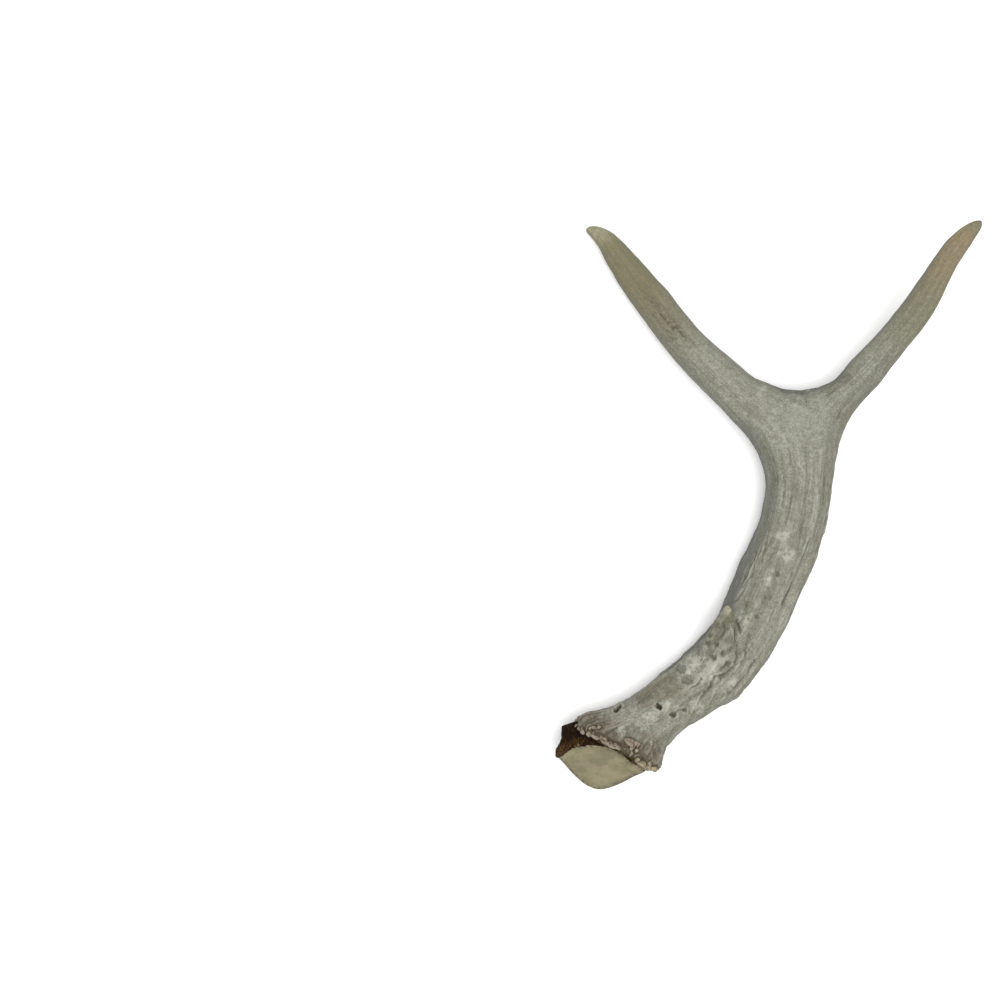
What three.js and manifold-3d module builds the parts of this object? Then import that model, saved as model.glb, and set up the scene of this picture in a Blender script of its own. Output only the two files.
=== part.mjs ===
// A forked deer antler that was sawn off its skull, lying on its outer side.
//
// The antler grew as one piece of bone. From the sawn stump of skull bone (the pedicle) it
// flares over a beaded rim (the burr), runs up a curved beam that carries a short brow nub,
// widens at the fork and ends in a long and a short tine. Its skin is drawn by lines that
// run the way the bone grew: from the saw cut up the beam and out to both tips, and from tip
// to tip through the crotch of the fork. The whole is then parted at the fork, so that each
// branch is a solid of its own.
//
// Millimetres, +Z up. Places in plan are measured from the middle of the burr.
import * as THREE from "three";
import { mergeVertices } from "three/addons/utils/BufferGeometryUtils.js";
import Module from "manifold-3d";

const wasm = await Module();
wasm.setup();

// ---------------------------------------------------------------- driving dimensions

// A section is cut straight down through the antler: the plan places of its left and right
// edges, seen with the base towards you, then the height of its middle and its thickness.
const BURR_HEIGHT = 18.4; // middle of the burr above the surface that the antler lies on
const BEAM_SECTIONS = [
  [-17.6, 8.8, 17.2, -9.3, BURR_HEIGHT, 34.4],
  [-15.5, 12, 19, -5.5, 18.1, 33],
  [-6, 15, 21.5, 0.5, 17, 28.5],
  [7, 21, 29, 7, 16.3, 24.5],
  [16, 28, 38, 13, 15.8, 24.5],
  [26.5, 36.5, 50.5, 20, 15.4, 25.5],
  [35, 44.5, 59, 29.5, 15, 26],
  [42, 54, 67, 41, 14.6, 26.5],
  [47, 65, 74, 55, 14.2, 27],
  [52, 77.5, 79.5, 67.5, 14, 27.6],
  [57, 88, 84.5, 79.5, 14.1, 27.8],
  [60.5, 99, 88.5, 94.5, 14.5, 27],
  [62, 110, 90.5, 109.5, 15.2, 26],
  [60, 118.5, 92, 120, 16, 25],
  [56, 126.5, 94.5, 129, 17, 24],
];
const FORK_SECTION = [48.5, 135, 99, 138.5, 18, 22];
const CROTCH = [75, 149, 18]; // lowest point of the notch between the tines
const LONG_SECTIONS = [
  [43.5, 140.5, 61, 152, 18.2, 19.5],
  [35.5, 148.5, 49, 161.5, 17, 18],
  [23.5, 162, 35.5, 173.5, 14, 16.5],
  [12, 178, 24, 187.5, 9.4, 15],
  [1.5, 193.5, 12.5, 201.5, 6.8, 13.4],
  [-8, 209, 0, 214.7, 7.8, 10.5],
  [-12, 213.5, -6, 218.2, 9.6, 7.5],
];
const LONG_TIP = [-12.7, 218.2, 11];
const SHORT_SECTIONS = [
  [89.5, 152.5, 106, 147, 20, 17],
  [97, 161, 109.5, 151, 23, 15.5],
  [107, 171.5, 116.5, 162, 28.5, 14],
  [115, 181.5, 125.5, 173.5, 35, 12.8],
  [122, 192, 132, 186.5, 41.5, 11.6],
  [129.3, 203.7, 137.1, 198.3, 47.5, 9.8],
  [133, 208.8, 140, 204.3, 50, 7.8],
  [138, 213, 142.8, 209.6, 52.5, 4.5],
];
const SHORT_TIP = [145.5, 215.5, 55];

// The pedicle: an uneven post under the burr, cut off by a slanting saw. Its outline at the
// cut, from the burr's middle along the burr and up, starts on the right and goes over the top.
const PEDICLE_OUTLINE = [
  [15.6, 1],
  [8.4, 5.6],
  [1.5, 8.8],
  [-5, 10.4],
  [-12, 9.2],
  [-18.5, 5.4],
  [-21.8, 1.8],
  [-15.5, -4.9],
  [-7.8, -11.8],
  [-1.5, -16],
  [3.8, -16.8],
  [8.8, -12],
  [12.8, -4.5],
];
const PEDICLE_MIDDLE = [-3, -3];
// Its rows from the cut to under the burr: how far the middle has moved, and the girth.
const PEDICLE_ROWS = [
  [0, 0, 1],
  [-1.5, 0.4, 0.97],
  [-1.3, 0.8, 0.91],
];
const PEDICLE_TOP = 0.8; // how far under the burr's rim the post begins
const CUT_REACH = 9; // from the burr's middle to the saw cut, square to the burr
const CUT_SLANT = [-0.3, -0.8]; // how much nearer the cut is per mm along the burr and up

const SQUARENESS = 2.15; // 2 is an ellipse, more is boxier
const BEAM_LINES = 40; // growth lines round the beam, a multiple of 4
const CROTCH_LINES = BEAM_LINES / 4; // lines that run from tip to tip inside the fork
const TINE_OUTSIDE = Math.PI / 3; // where the beam's lines start round a tine
const ROW_STEP = 4.8; // spacing of the rows of faces

const FLUTES = 11; // long shallow ridges round the beam
const FLUTE_DEPTH = 0.55;

// The pitted ground below the nub stands a little above the ridged side, along a ledge. For
// each place along the beam: where the ledge runs, in degrees from the top towards the left.
const LEDGE_HEIGHT = 1.1;
const LEDGE = { from: 3, to: 7.2, start: -42, end: -6 };

const BEADS = 26; // lumps round the burr
const BEAD_RADIUS = 2;
const NUB_FOOT = [42.5, 38.5, 18];
const NUB_TIP = [45, 57.5, 26.8];
const NUB_RADII = [7.5, 7.2, 6.5, 4.6, 2.2]; // from its foot to its rounded end
const PIT_RADIUS = 1.5;
// Pits in the lower beam: section of the beam, degrees round it (90 is the top).
const PITS = [
  [2.2, 118],
  [3.1, 96],
  [3.5, 66],
  [4.3, 112],
  [4.9, 84],
  [5.3, 104],
  [6.2, 118],
  [6.5, 98],
  [7.4, 60],
  [8.4, 52],
];

// The fork is parted square to each tine, a little above the crotch.
const LONG_SPLIT = { at: [46, 151.5], heading: 137 };
const SHORT_SPLIT = { at: [100, 152.5], heading: 56 };
const SPLIT_GAP = 0.3;

const HORN = new THREE.MeshStandardMaterial({
  name: "antler_bone",
  color: 0xa6a394,
  roughness: 0.75,
  metalness: 0,
});

// ---------------------------------------------------------------- sections and lines

const vec = (p) => new THREE.Vector3(...p);
const turn = (share) => share * 2 * Math.PI;

// cos or sin of an angle, flattened so that the section is a little boxier than an ellipse.
const squared = (value) => Math.sign(value) * Math.abs(value) ** (2 / SQUARENESS);

function sectionPoint([leftX, leftY, rightX, rightY, middle, thick], angle) {
  const across = squared(Math.cos(angle)) / 2;
  const x = (leftX + rightX) / 2 + (rightX - leftX) * across;
  const y = (leftY + rightY) / 2 + (rightY - leftY) * across;
  return new THREE.Vector3(x, y, middle + (thick / 2) * squared(Math.sin(angle)));
}

// The burr's own axes: along its rim in plan, and square to it towards the skull.
const [rimLeftX, rimLeftY, rimRightX, rimRightY] = BEAM_SECTIONS[0];
const alongBurr = new THREE.Vector3(rimRightX - rimLeftX, rimRightY - rimLeftY, 0).normalize();
const toSkull = new THREE.Vector3(alongBurr.y, -alongBurr.x, 0);
const burrMiddle = new THREE.Vector3(0, 0, BURR_HEIGHT);

// A point in the burr's axes: along the rim, up, and towards the skull.
const fromBurr = (along, up, out) =>
  burrMiddle
    .clone()
    .addScaledVector(alongBurr, along)
    .addScaledVector(toSkull, out)
    .add(new THREE.Vector3(0, 0, up));

const cutDepth = (along, up) => CUT_REACH + CUT_SLANT[0] * along + CUT_SLANT[1] * up;

const pedicleOutline = new THREE.CatmullRomCurve3(
  PEDICLE_OUTLINE.map(([along, up]) => new THREE.Vector3(along, up, 0)),
  true,
);

// The pedicle at one angle, from the saw cut to just under the burr.
function pedicleLine(angle) {
  const outline = pedicleOutline.getPoint((angle / (2 * Math.PI) + 1) % 1);
  const [middleAlong, middleUp] = PEDICLE_MIDDLE;
  return PEDICLE_ROWS.map(([moveAlong, moveUp, girth], i) => {
    const along = middleAlong + moveAlong + (outline.x - middleAlong) * girth;
    const up = middleUp + moveUp + (outline.y - middleUp) * girth;
    const left = 1 - i / (PEDICLE_ROWS.length - 1);
    return fromBurr(along, up, PEDICLE_TOP + (cutDepth(along, up) - PEDICLE_TOP) * left);
  });
}

function beamLine(angle) {
  return [...pedicleLine(angle), ...BEAM_SECTIONS.map((s) => sectionPoint(s, angle))];
}

const trunkSections = PEDICLE_ROWS.length + BEAM_SECTIONS.length; // up to the fork's own
const forkPoint = (angle) => sectionPoint(FORK_SECTION, angle);

// The crotch is a half ellipse, over the notch from the fork's top line to its bottom line.
function crotchPoint(share) {
  const top = forkPoint(Math.PI / 2);
  const middle = top.clone().add(forkPoint(-Math.PI / 2)).multiplyScalar(0.5);
  const reach = vec(CROTCH).sub(middle);
  const angle = Math.PI * share;
  return middle
    .clone()
    .addScaledVector(reach, Math.sin(angle))
    .add(new THREE.Vector3(0, 0, (top.z - middle.z) * Math.cos(angle)));
}

const tineLine = (sections, tip, angle) => [...sections.map((s) => sectionPoint(s, angle)), vec(tip)];

// One growth line as a smooth curve, read at a section's number and a share of the way on.
class GrowthLine {
  constructor(points) {
    this.last = points.length - 1;
    this.curve = new THREE.CatmullRomCurve3(points, false, "centripetal");
  }
  at(place) {
    return this.curve.getPoint(Math.min(place / this.last, 1));
  }
}

const halfLines = BEAM_LINES / 2;
const outsideAngle = (k) => TINE_OUTSIDE + ((2 * Math.PI - 2 * TINE_OUTSIDE) * k) / halfLines;
const insideAngle = (m) => -TINE_OUTSIDE + (2 * TINE_OUTSIDE * m) / CROTCH_LINES;

// Lines on the beam's left half go on round the long tine, those on its right half round the
// short one. Both sets start at the top of the beam and end under it.
const leftLines = [];
const rightLines = [];
for (let k = 0; k <= halfLines; k++) {
  const left = Math.PI / 2 + turn(k / BEAM_LINES);
  const right = Math.PI / 2 - turn(k / BEAM_LINES);
  const round = outsideAngle(k);
  leftLines.push(
    new GrowthLine([...beamLine(left), forkPoint(left), ...tineLine(LONG_SECTIONS, LONG_TIP, round)]),
  );
  rightLines.push(
    new GrowthLine([
      ...beamLine(right),
      forkPoint(right),
      ...tineLine(SHORT_SECTIONS, SHORT_TIP, Math.PI - round),
    ]),
  );
}

// Lines inside the fork, from under it to its top: long tip, crotch, short tip.
const crotchLines = [];
for (let m = 1; m < CROTCH_LINES; m++) {
  const angle = insideAngle(m);
  crotchLines.push(
    new GrowthLine([
      ...tineLine(LONG_SECTIONS, LONG_TIP, angle).reverse(),
      crotchPoint(1 - m / CROTCH_LINES),
      ...tineLine(SHORT_SECTIONS, SHORT_TIP, Math.PI - angle),
    ]),
  );
}

// ---------------------------------------------------------------- rows of the skin

// Places to read the lines at: section numbers with equal steps between neighbours.
function rowPlaces(line, from, to) {
  const places = [];
  for (let i = from; i < to; i++) {
    const steps = Math.max(1, Math.round(line.at(i).distanceTo(line.at(i + 1)) / ROW_STEP));
    for (let step = 0; step < steps; step++) places.push(i + step / steps);
  }
  return [...places, to];
}

// Shallow ridges: how far the skin stands out at an angle and a share of the branch's length.
function fluted(ring, share, angles, depth) {
  const middle = ring.reduce((sum, p) => sum.add(p), new THREE.Vector3()).divideScalar(ring.length);
  const fade = Math.sin(Math.PI * share) ** 0.6;
  ring.forEach((p, i) => {
    const wander = 0.9 * Math.sin(7 * share + 1.3);
    const wave =
      Math.sin(FLUTES * angles[i] + wander) + 0.6 * Math.sin((FLUTES - 4) * angles[i] - 2 * wander);
    p.addScaledVector(p.clone().sub(middle).normalize(), depth * fade * (wave - 0.6));
  });
  return ring;
}

// How far the ledge lifts the skin, at a section of the beam and an angle from its top.
function ledgeLift(section, angle) {
  const along = (section - LEDGE.from) / (LEDGE.to - LEDGE.from);
  if (along <= 0 || along >= 1) return 0;
  const degrees = THREE.MathUtils.radToDeg(angle > Math.PI ? angle - turn(1) : angle);
  const edge = THREE.MathUtils.lerp(LEDGE.start, LEDGE.end, along);
  const up = THREE.MathUtils.smoothstep(degrees, edge - 10, edge + 6);
  const down = THREE.MathUtils.smoothstep(degrees, 25, 80);
  return LEDGE_HEIGHT * Math.sin(Math.PI * along) ** 0.5 * up * (1 - down);
}

const points = [];
const faces = [];
const addRing = (ring) => ring.map((p) => points.push(p) - 1);
const face = (a, b, c) => faces.push(a, b, c);

function skinBetween(lower, upper) {
  lower.forEach((a, i) => {
    const next = (i + 1) % lower.length;
    face(a, upper[next], lower[next]);
    face(a, upper[i], upper[next]);
  });
}

// Pedicle and beam, up to the fork. Ring order: top, left, underside, right.
const beamAngles = Array.from({ length: BEAM_LINES }, (_, i) => turn(i / BEAM_LINES));
const beamRing = (place) =>
  beamAngles.map((_, i) =>
    i <= halfLines ? leftLines[i].at(place) : rightLines[BEAM_LINES - i].at(place),
  );
const beamPlaces = rowPlaces(leftLines[halfLines / 2], 0, trunkSections);
const rimPlace = PEDICLE_ROWS.length;
const beamRows = beamPlaces.map((place) => {
  const share = Math.max(0, (place - rimPlace) / (trunkSections - rimPlace));
  const depth = place > rimPlace ? FLUTE_DEPTH : 0;
  const ring = fluted(beamRing(place), share, beamAngles, depth);
  ring.forEach((p, i) => (p.z += ledgeLift(place - rimPlace, beamAngles[i])));
  return addRing(ring);
});
for (let i = 1; i < beamRows.length; i++) skinBetween(beamRows[i - 1], beamRows[i]);

// The sawn face.
const cutMiddle = points.push(fromBurr(...PEDICLE_MIDDLE, cutDepth(...PEDICLE_MIDDLE))) - 1;
beamRows[0].forEach((a, i, ring) => face(cutMiddle, a, ring[(i + 1) % ring.length]));

// Each tine starts on half of the fork's ring and on the crotch, and closes at its tip.
const forkRow = beamRows[beamRows.length - 1];
const crotchRow = addRing(
  crotchLines.map((_, i) => crotchPoint(1 - (i + 1) / CROTCH_LINES)),
);
const forkNumber = { outside: trunkSections, long: LONG_SECTIONS.length + 1 };

function growTine(firstRow, outside, insideAt, sections, tip) {
  const places = rowPlaces(outside[halfLines / 2], forkNumber.outside, forkNumber.outside + sections.length);
  const angles = firstRow.map((_, i) => turn(i / firstRow.length));
  let lower = firstRow;
  for (const place of places.slice(1)) {
    const up = place - forkNumber.outside;
    const ring = [...outside.map((line) => line.at(place)), ...crotchLines.map((_, i) => insideAt(i, up))];
    const row = addRing(fluted(ring, up / sections.length, angles, FLUTE_DEPTH / 2));
    skinBetween(lower, row);
    lower = row;
  }
  const end = points.push(vec(tip)) - 1;
  lower.forEach((a, i, ring) => face(a, end, ring[(i + 1) % ring.length]));
}

growTine(
  [...forkRow.slice(0, halfLines + 1), ...crotchRow],
  leftLines,
  (i, up) => crotchLines[i].at(forkNumber.long - up),
  LONG_SECTIONS,
  LONG_TIP,
);
growTine(
  [forkRow[halfLines], ...forkRow.slice(halfLines + 1), forkRow[0], ...[...crotchRow].reverse()],
  [...rightLines].reverse(),
  (i, up) => crotchLines[crotchLines.length - 1 - i].at(forkNumber.long + up),
  SHORT_SECTIONS,
  SHORT_TIP,
);

// ---------------------------------------------------------------- solids

const solid = (coordinates, indices) =>
  new wasm.Manifold(
    new wasm.Mesh({
      numProp: 3,
      vertProperties: new Float32Array(coordinates),
      triVerts: new Uint32Array(indices),
    }),
  );

function solidOf(geometry) {
  geometry.deleteAttribute("normal");
  geometry.deleteAttribute("uv");
  const merged = mergeVertices(geometry, 1e-4);
  return solid(merged.attributes.position.array, merged.index.array);
}

function geometryOf(piece) {
  const mesh = piece.getMesh();
  const geometry = new THREE.BufferGeometry();
  geometry.setAttribute("position", new THREE.BufferAttribute(mesh.vertProperties, 3));
  geometry.setIndex(new THREE.BufferAttribute(mesh.triVerts, 1));
  geometry.computeVertexNormals();
  return geometry;
}

// Lumps round the burr's rim, stretched across it and not all one size.
function burrBeads() {
  const [, , , , , thick] = BEAM_SECTIONS[0];
  const half = Math.hypot(rimRightX - rimLeftX, rimRightY - rimLeftY) / 2;
  return Array.from({ length: BEADS }, (_, i) => {
    const angle = turn((i + 0.25 * Math.sin(5 * i)) / BEADS);
    const size = BEAD_RADIUS * (1 + 0.22 * Math.sin(3.7 * i));
    const bead = new THREE.SphereGeometry(size, 7, 4);
    bead.scale(1, 1, 1.35);
    bead.applyMatrix4(new THREE.Matrix4().makeBasis(alongBurr, new THREE.Vector3(0, 0, 1), toSkull));
    const inset = 1.2;
    const place = fromBurr((half - inset) * Math.cos(angle), (thick / 2 - inset) * Math.sin(angle), -0.4);
    return solidOf(bead.translate(place.x, place.y, place.z));
  });
}

// The brow nub: a spur that leans along the beam, from inside the beam to its rounded end.
function browNub() {
  const foot = vec(NUB_FOOT);
  const axis = vec(NUB_TIP).sub(foot);
  const length = axis.length();
  const endRadius = NUB_RADII[NUB_RADII.length - 1];
  const outline = NUB_RADII.map((radius, i) => {
    const share = i / (NUB_RADII.length - 1);
    return new THREE.Vector2(radius, share * (length - endRadius / 2));
  });
  const profile = [new THREE.Vector2(0, 0), ...outline, new THREE.Vector2(0, length)];
  const nub = new THREE.LatheGeometry(profile, 14);
  nub.applyQuaternion(
    new THREE.Quaternion().setFromUnitVectors(new THREE.Vector3(0, 1, 0), axis.normalize()),
  );
  return solidOf(nub.translate(foot.x, foot.y, foot.z));
}

function pits() {
  return PITS.map(([section, degrees], i) => {
    const angle = THREE.MathUtils.degToRad(degrees);
    const line = new GrowthLine(beamLine(angle));
    const place = line.at(PEDICLE_ROWS.length + section);
    place.z += ledgeLift(section, angle - Math.PI / 2);
    const pit = new THREE.SphereGeometry(PIT_RADIUS * (1 + 0.25 * Math.sin(2.3 * i)), 7, 4);
    return solidOf(pit.translate(place.x, place.y, place.z));
  });
}

// A block that holds everything beyond a split, which faces the given heading in plan.
function beyond({ at, heading }, offset) {
  const size = 200;
  const block = new THREE.BoxGeometry(size, size, size);
  block.translate(size / 2 + offset, 0, 0);
  block.rotateZ(THREE.MathUtils.degToRad(heading));
  return solidOf(block.translate(at[0], at[1], BURR_HEIGHT));
}

let antler = solid(points.flatMap((p) => p.toArray()), faces);
for (const lump of [...burrBeads(), browNub()]) antler = antler.add(lump);
for (const pit of pits()) antler = antler.subtract(pit);

const pieces = {
  main_beam: antler.subtract(beyond(LONG_SPLIT, 0)).subtract(beyond(SHORT_SPLIT, 0)),
  long_tine: antler.intersect(beyond(LONG_SPLIT, SPLIT_GAP)),
  short_tine: antler.intersect(beyond(SHORT_SPLIT, SPLIT_GAP)),
};

// ---------------------------------------------------------------- the part

const part = new THREE.Group();
for (const [name, piece] of Object.entries(pieces)) {
  const mesh = new THREE.Mesh(geometryOf(piece), HORN);
  mesh.name = name;
  part.add(mesh);
}

// Its origin is the middle of its footprint, on the surface that it lies on.
const extent = new THREE.Box3().setFromObject(part);
const middle = extent.getCenter(new THREE.Vector3());
part.position.set(-middle.x, -middle.y, -extent.min.z);

export default part;
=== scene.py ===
# A forked deer antler, sawn off its skull and laid down on its outer side.
import math
import random

import bpy
import numpy as np
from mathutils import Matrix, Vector, noise
from mathutils.bvhtree import BVHTree


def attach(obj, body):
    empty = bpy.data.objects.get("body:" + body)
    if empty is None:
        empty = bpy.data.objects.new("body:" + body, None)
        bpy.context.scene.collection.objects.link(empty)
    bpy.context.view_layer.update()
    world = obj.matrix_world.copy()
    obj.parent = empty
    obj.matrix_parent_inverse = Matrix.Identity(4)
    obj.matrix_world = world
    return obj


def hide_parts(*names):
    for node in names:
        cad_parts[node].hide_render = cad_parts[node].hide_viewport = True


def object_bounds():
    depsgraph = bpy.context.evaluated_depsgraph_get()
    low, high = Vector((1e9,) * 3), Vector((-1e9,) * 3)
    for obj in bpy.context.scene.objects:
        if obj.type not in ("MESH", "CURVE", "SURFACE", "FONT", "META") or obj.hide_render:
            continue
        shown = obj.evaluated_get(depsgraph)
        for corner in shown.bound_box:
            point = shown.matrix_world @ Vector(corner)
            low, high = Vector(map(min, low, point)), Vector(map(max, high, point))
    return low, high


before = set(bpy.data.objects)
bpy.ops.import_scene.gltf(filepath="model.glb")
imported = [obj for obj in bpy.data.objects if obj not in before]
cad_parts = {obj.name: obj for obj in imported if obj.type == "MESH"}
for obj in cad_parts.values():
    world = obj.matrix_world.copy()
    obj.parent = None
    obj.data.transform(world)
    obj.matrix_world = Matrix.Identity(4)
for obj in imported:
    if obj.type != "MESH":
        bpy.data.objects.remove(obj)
cad_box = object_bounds()

# ------------------------------------------------------------------ the antler
# The antler is one growth of bone: a flared burr, a curved beam with a short brow nub, and a
# fork into a long and a short tine. Its skin is drawn along the lines that the bone grew in,
# then ridged, pitted and worn. Nothing holds it: it lies on its outer side.

MM = 0.001
# Where the middle of the burr is in plan, in the part's own frame. Places in plan below are
# measured from it, in millimetres, and heights from the surface that the antler lies on.
BURR_PLACE = np.array([-59.81, -98.79, -0.04])

# Sections straight down through the antler: the left edge and the right edge in plan, the
# height of the middle, and the thickness.
BURR_HEIGHT = 18.4
BEAM_SECTIONS = [
    (-17.6, 8.8, 17.2, -9.3, BURR_HEIGHT, 34.4), (-15.5, 12, 19, -5.5, 18.1, 33),
    (-6, 15, 21.5, 0.5, 17, 28.5), (7, 21, 29, 7, 16.3, 24.5), (16, 28, 38, 13, 15.8, 24.5),
    (26.5, 36.5, 50.5, 20, 15.4, 25.5), (35, 44.5, 59, 29.5, 15, 26),
    (42, 54, 67, 41, 14.6, 26.5), (47, 65, 74, 55, 14.2, 27), (52, 77.5, 79.5, 67.5, 14, 27.6),
    (57, 88, 84.5, 79.5, 14.1, 27.8), (60.5, 99, 88.5, 94.5, 14.5, 27),
    (62, 110, 90.5, 109.5, 15.2, 26), (60, 118.5, 92, 120, 16, 25),
    (56, 126.5, 94.5, 129, 17, 24), (48.5, 135, 99, 138.5, 18, 22),
]
CROTCH = (75, 149, 18)
LONG_SECTIONS = [
    (43.5, 140.5, 61, 152, 18.2, 19.5), (35.5, 148.5, 49, 161.5, 17, 18),
    (23.5, 162, 35.5, 173.5, 14, 16.5), (12, 178, 24, 187.5, 9.4, 15),
    (1.5, 193.5, 12.5, 201.5, 6.8, 13.4), (-6.1, 207.4, 1.4, 213, 7.8, 10.8),
    (-8.3, 210.8, -1.7, 215.6, 8.2, 9.6), (-11.1, 214.1, -6, 217.7, 9.4, 7.4),
    (-12.5, 215.7, -8.9, 218.2, 10.2, 5), (-12.9, 216.6, -10.7, 218.1, 10.6, 3),
]
LONG_TIP = (-12.45, 217.7, 10.9)
SHORT_SECTIONS = [
    (89.5, 152.5, 106, 147, 20, 17), (97, 161, 109.5, 151, 23, 15.5),
    (107, 171.5, 116.5, 162, 28.5, 14), (115, 181.5, 125.5, 173.5, 35, 12.8),
    (122, 192, 132, 186.5, 41.5, 11.6), (129.3, 203.7, 137.1, 198.3, 47.5, 9.8),
    (133, 208.8, 140.8, 204.3, 50, 7.9), (138, 213, 143.7, 209.4, 52, 5.2),
    (142.7, 215.3, 145.5, 213.2, 53.4, 2.9),
]
SHORT_TIP = (145.3, 215.4, 54.3)

LINES = 200  # growth lines round the beam
HALF = LINES // 2
INSIDE = LINES // 4  # lines that run from tip to tip inside the fork
SQUARENESS = 2.15
TINE_OUTSIDE = math.pi / 3
LONG_LENGTH, SHORT_LENGTH = 105, 100  # from the fork to each tip
FINE_STEP, ROW_STEP, TIP_STEP = 0.4, 1.05, 0.3  # between rows of faces
FINE_END, TIP_LENGTH = 74, 12  # how far from the burr, and from a tip, the rows are finer
GRAIN_RADIUS = 13.5  # the beam's half thickness, which the grain's pattern is wound round
BEAM_FLUTES, TINE_FLUTES = 0.5, 0.14  # how deep the long shallow ridges are


def squared(value):
    """A sine or cosine, for a section that is a little fuller than an ellipse."""
    return np.sign(value) * np.abs(value) ** (2 / SQUARENESS)


def section_rings(sections, angles):
    """The point of each section at each angle, from the right-hand edge over the top."""
    s = np.array(sections, float)[:, None, :]
    across, up = squared(np.cos(angles)) / 2, squared(np.sin(angles)) / 2
    x = (s[..., 0] + s[..., 2]) / 2 + (s[..., 2] - s[..., 0]) * across
    y = (s[..., 1] + s[..., 3]) / 2 + (s[..., 3] - s[..., 1]) * across
    return np.stack([x, y, s[..., 4] + s[..., 5] * up], axis=2)


def along_lines(knots, places):
    """Smooth lines through the rows of knots, read at section numbers and shares between."""
    knots = np.concatenate([2 * knots[:1] - knots[1:2], knots, 2 * knots[-1:] - knots[-2:-1]])
    first = np.minimum(places.astype(int), len(knots) - 4)
    t = (places - first)[:, None, None]
    p0, p1, p2, p3 = (knots[first + n] for n in range(4))
    d0, d1, d2 = (
        np.sqrt(np.linalg.norm(b - a, axis=2, keepdims=True))
        for a, b in ((p0, p1), (p1, p2), (p2, p3))
    )
    out = ((p1 - p0) / d0 - (p2 - p0) / (d0 + d1) + (p2 - p1) / d1) * d1
    into = ((p2 - p1) / d1 - (p3 - p1) / (d1 + d2) + (p3 - p2) / d2) * d1
    bend = 3 * (p2 - p1) - 2 * out - into
    return p1 + t * (out + t * (bend + t * (out + into - 2 * (p2 - p1))))


def row_places(knots, first, last, step_at):
    """Section numbers for the rows from one section to another, and how far along each is."""
    fine = np.linspace(first, last, 4000)
    middle = along_lines(knots, fine).mean(axis=1)
    gone = np.concatenate([[0], np.cumsum(np.linalg.norm(np.diff(middle, axis=0), axis=1))])
    rows = np.concatenate([[0], np.cumsum(np.diff(gone) / step_at(gone[1:]))])
    wanted = np.linspace(0, rows[-1], int(round(rows[-1])) + 1)
    return np.interp(wanted, rows, fine), np.interp(wanted, rows, gone)


turns = 2 * np.pi * np.arange(HALF + 1) / LINES
left_angles = np.pi / 2 + turns
right_angles = np.pi / 2 - turns
outside_angles = TINE_OUTSIDE + (2 * np.pi - 2 * TINE_OUTSIDE) * np.arange(HALF + 1) / HALF
inside_share = np.arange(1, INSIDE) / INSIDE
inside_angles = -TINE_OUTSIDE + 2 * TINE_OUTSIDE * inside_share


def with_tip(sections, tip, angles):
    rings = section_rings(sections, angles)
    return np.concatenate([rings, np.broadcast_to(np.array(tip, float), rings[:1].shape)])


left_knots = np.concatenate(
    [section_rings(BEAM_SECTIONS, left_angles), with_tip(LONG_SECTIONS, LONG_TIP, outside_angles)]
)
right_knots = np.concatenate(
    [
        section_rings(BEAM_SECTIONS, right_angles),
        with_tip(SHORT_SECTIONS, SHORT_TIP, np.pi - outside_angles),
    ]
)
fork_top, fork_under = section_rings(BEAM_SECTIONS[-1:], np.array([np.pi / 2, -np.pi / 2]))[0]
fork_middle = (fork_top + fork_under) / 2
crotch_turn = np.pi * (1 - inside_share)[:, None]
crotch_arc = (
    fork_middle
    + (np.array(CROTCH) - fork_middle) * np.sin(crotch_turn)
    + np.array([0, 0, 1]) * (fork_top - fork_middle)[2] * np.cos(crotch_turn)
)
inside_knots = np.concatenate(
    [
        with_tip(LONG_SECTIONS, LONG_TIP, inside_angles)[::-1],
        crotch_arc[None],
        with_tip(SHORT_SECTIONS, SHORT_TIP, np.pi - inside_angles),
    ]
)

fork = len(BEAM_SECTIONS) - 1
crotch_knot = len(LONG_SECTIONS) + 1


def beam_step(gone):
    return np.interp(gone, [FINE_END, FINE_END + TIP_LENGTH], [FINE_STEP, ROW_STEP])


def tine_step(length):
    return lambda gone: np.interp(gone, [length - TIP_LENGTH, length], [ROW_STEP, TIP_STEP])


beam_knots = np.concatenate([left_knots[: fork + 1], right_knots[: fork + 1, 1:-1]], axis=1)
beam_rows, beam_gone = row_places(beam_knots, 0, fork, beam_step)
long_rows, long_gone = row_places(left_knots, fork, fork + crotch_knot, tine_step(LONG_LENGTH))
short_end = fork + len(SHORT_SECTIONS) + 1
short_rows, short_gone = row_places(right_knots, fork, short_end, tine_step(SHORT_LENGTH))

# Every skin point carries where it is on the grain: round the beam, and along the growth.
ring_angles = np.concatenate([left_angles, right_angles[-2:0:-1]])
skin = {"place": [], "grain": [], "flute": [], "branch": []}
faces = []


def flutes(angles, share, depth):
    """Long shallow ridges that fade towards both ends of a branch."""
    wander = 0.9 * np.sin(7 * share + 1.3)
    wave = np.sin(11 * angles + wander) + 0.6 * np.sin(7 * angles - 2 * wander)
    return depth * np.sin(np.pi * np.clip(share, 0, 1)) ** 0.6 * (wave - 0.6)


def add_points(places, grain_across, gone, flute, branch):
    start = sum(len(p) for p in skin["place"])
    count = len(places)
    skin["place"].append(places)
    skin["grain"].append(np.column_stack([grain_across, np.full(count, gone)]))
    skin["flute"].append(np.broadcast_to(flute, count))
    skin["branch"].append(np.broadcast_to(np.array(branch, float), (count, 3)))
    return np.arange(start, start + count)


def skin_between(lower, upper):
    following, above = np.roll(lower, -1), np.roll(upper, -1)
    faces.extend(np.stack([lower, upper, above, following], axis=1).tolist())


def close_at(ring, point, outwards):
    following = np.roll(ring, -1)
    first, last = (ring, following) if outwards else (following, ring)
    faces.extend(np.stack([first, np.full(len(ring), point), last], axis=1).tolist())


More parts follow.
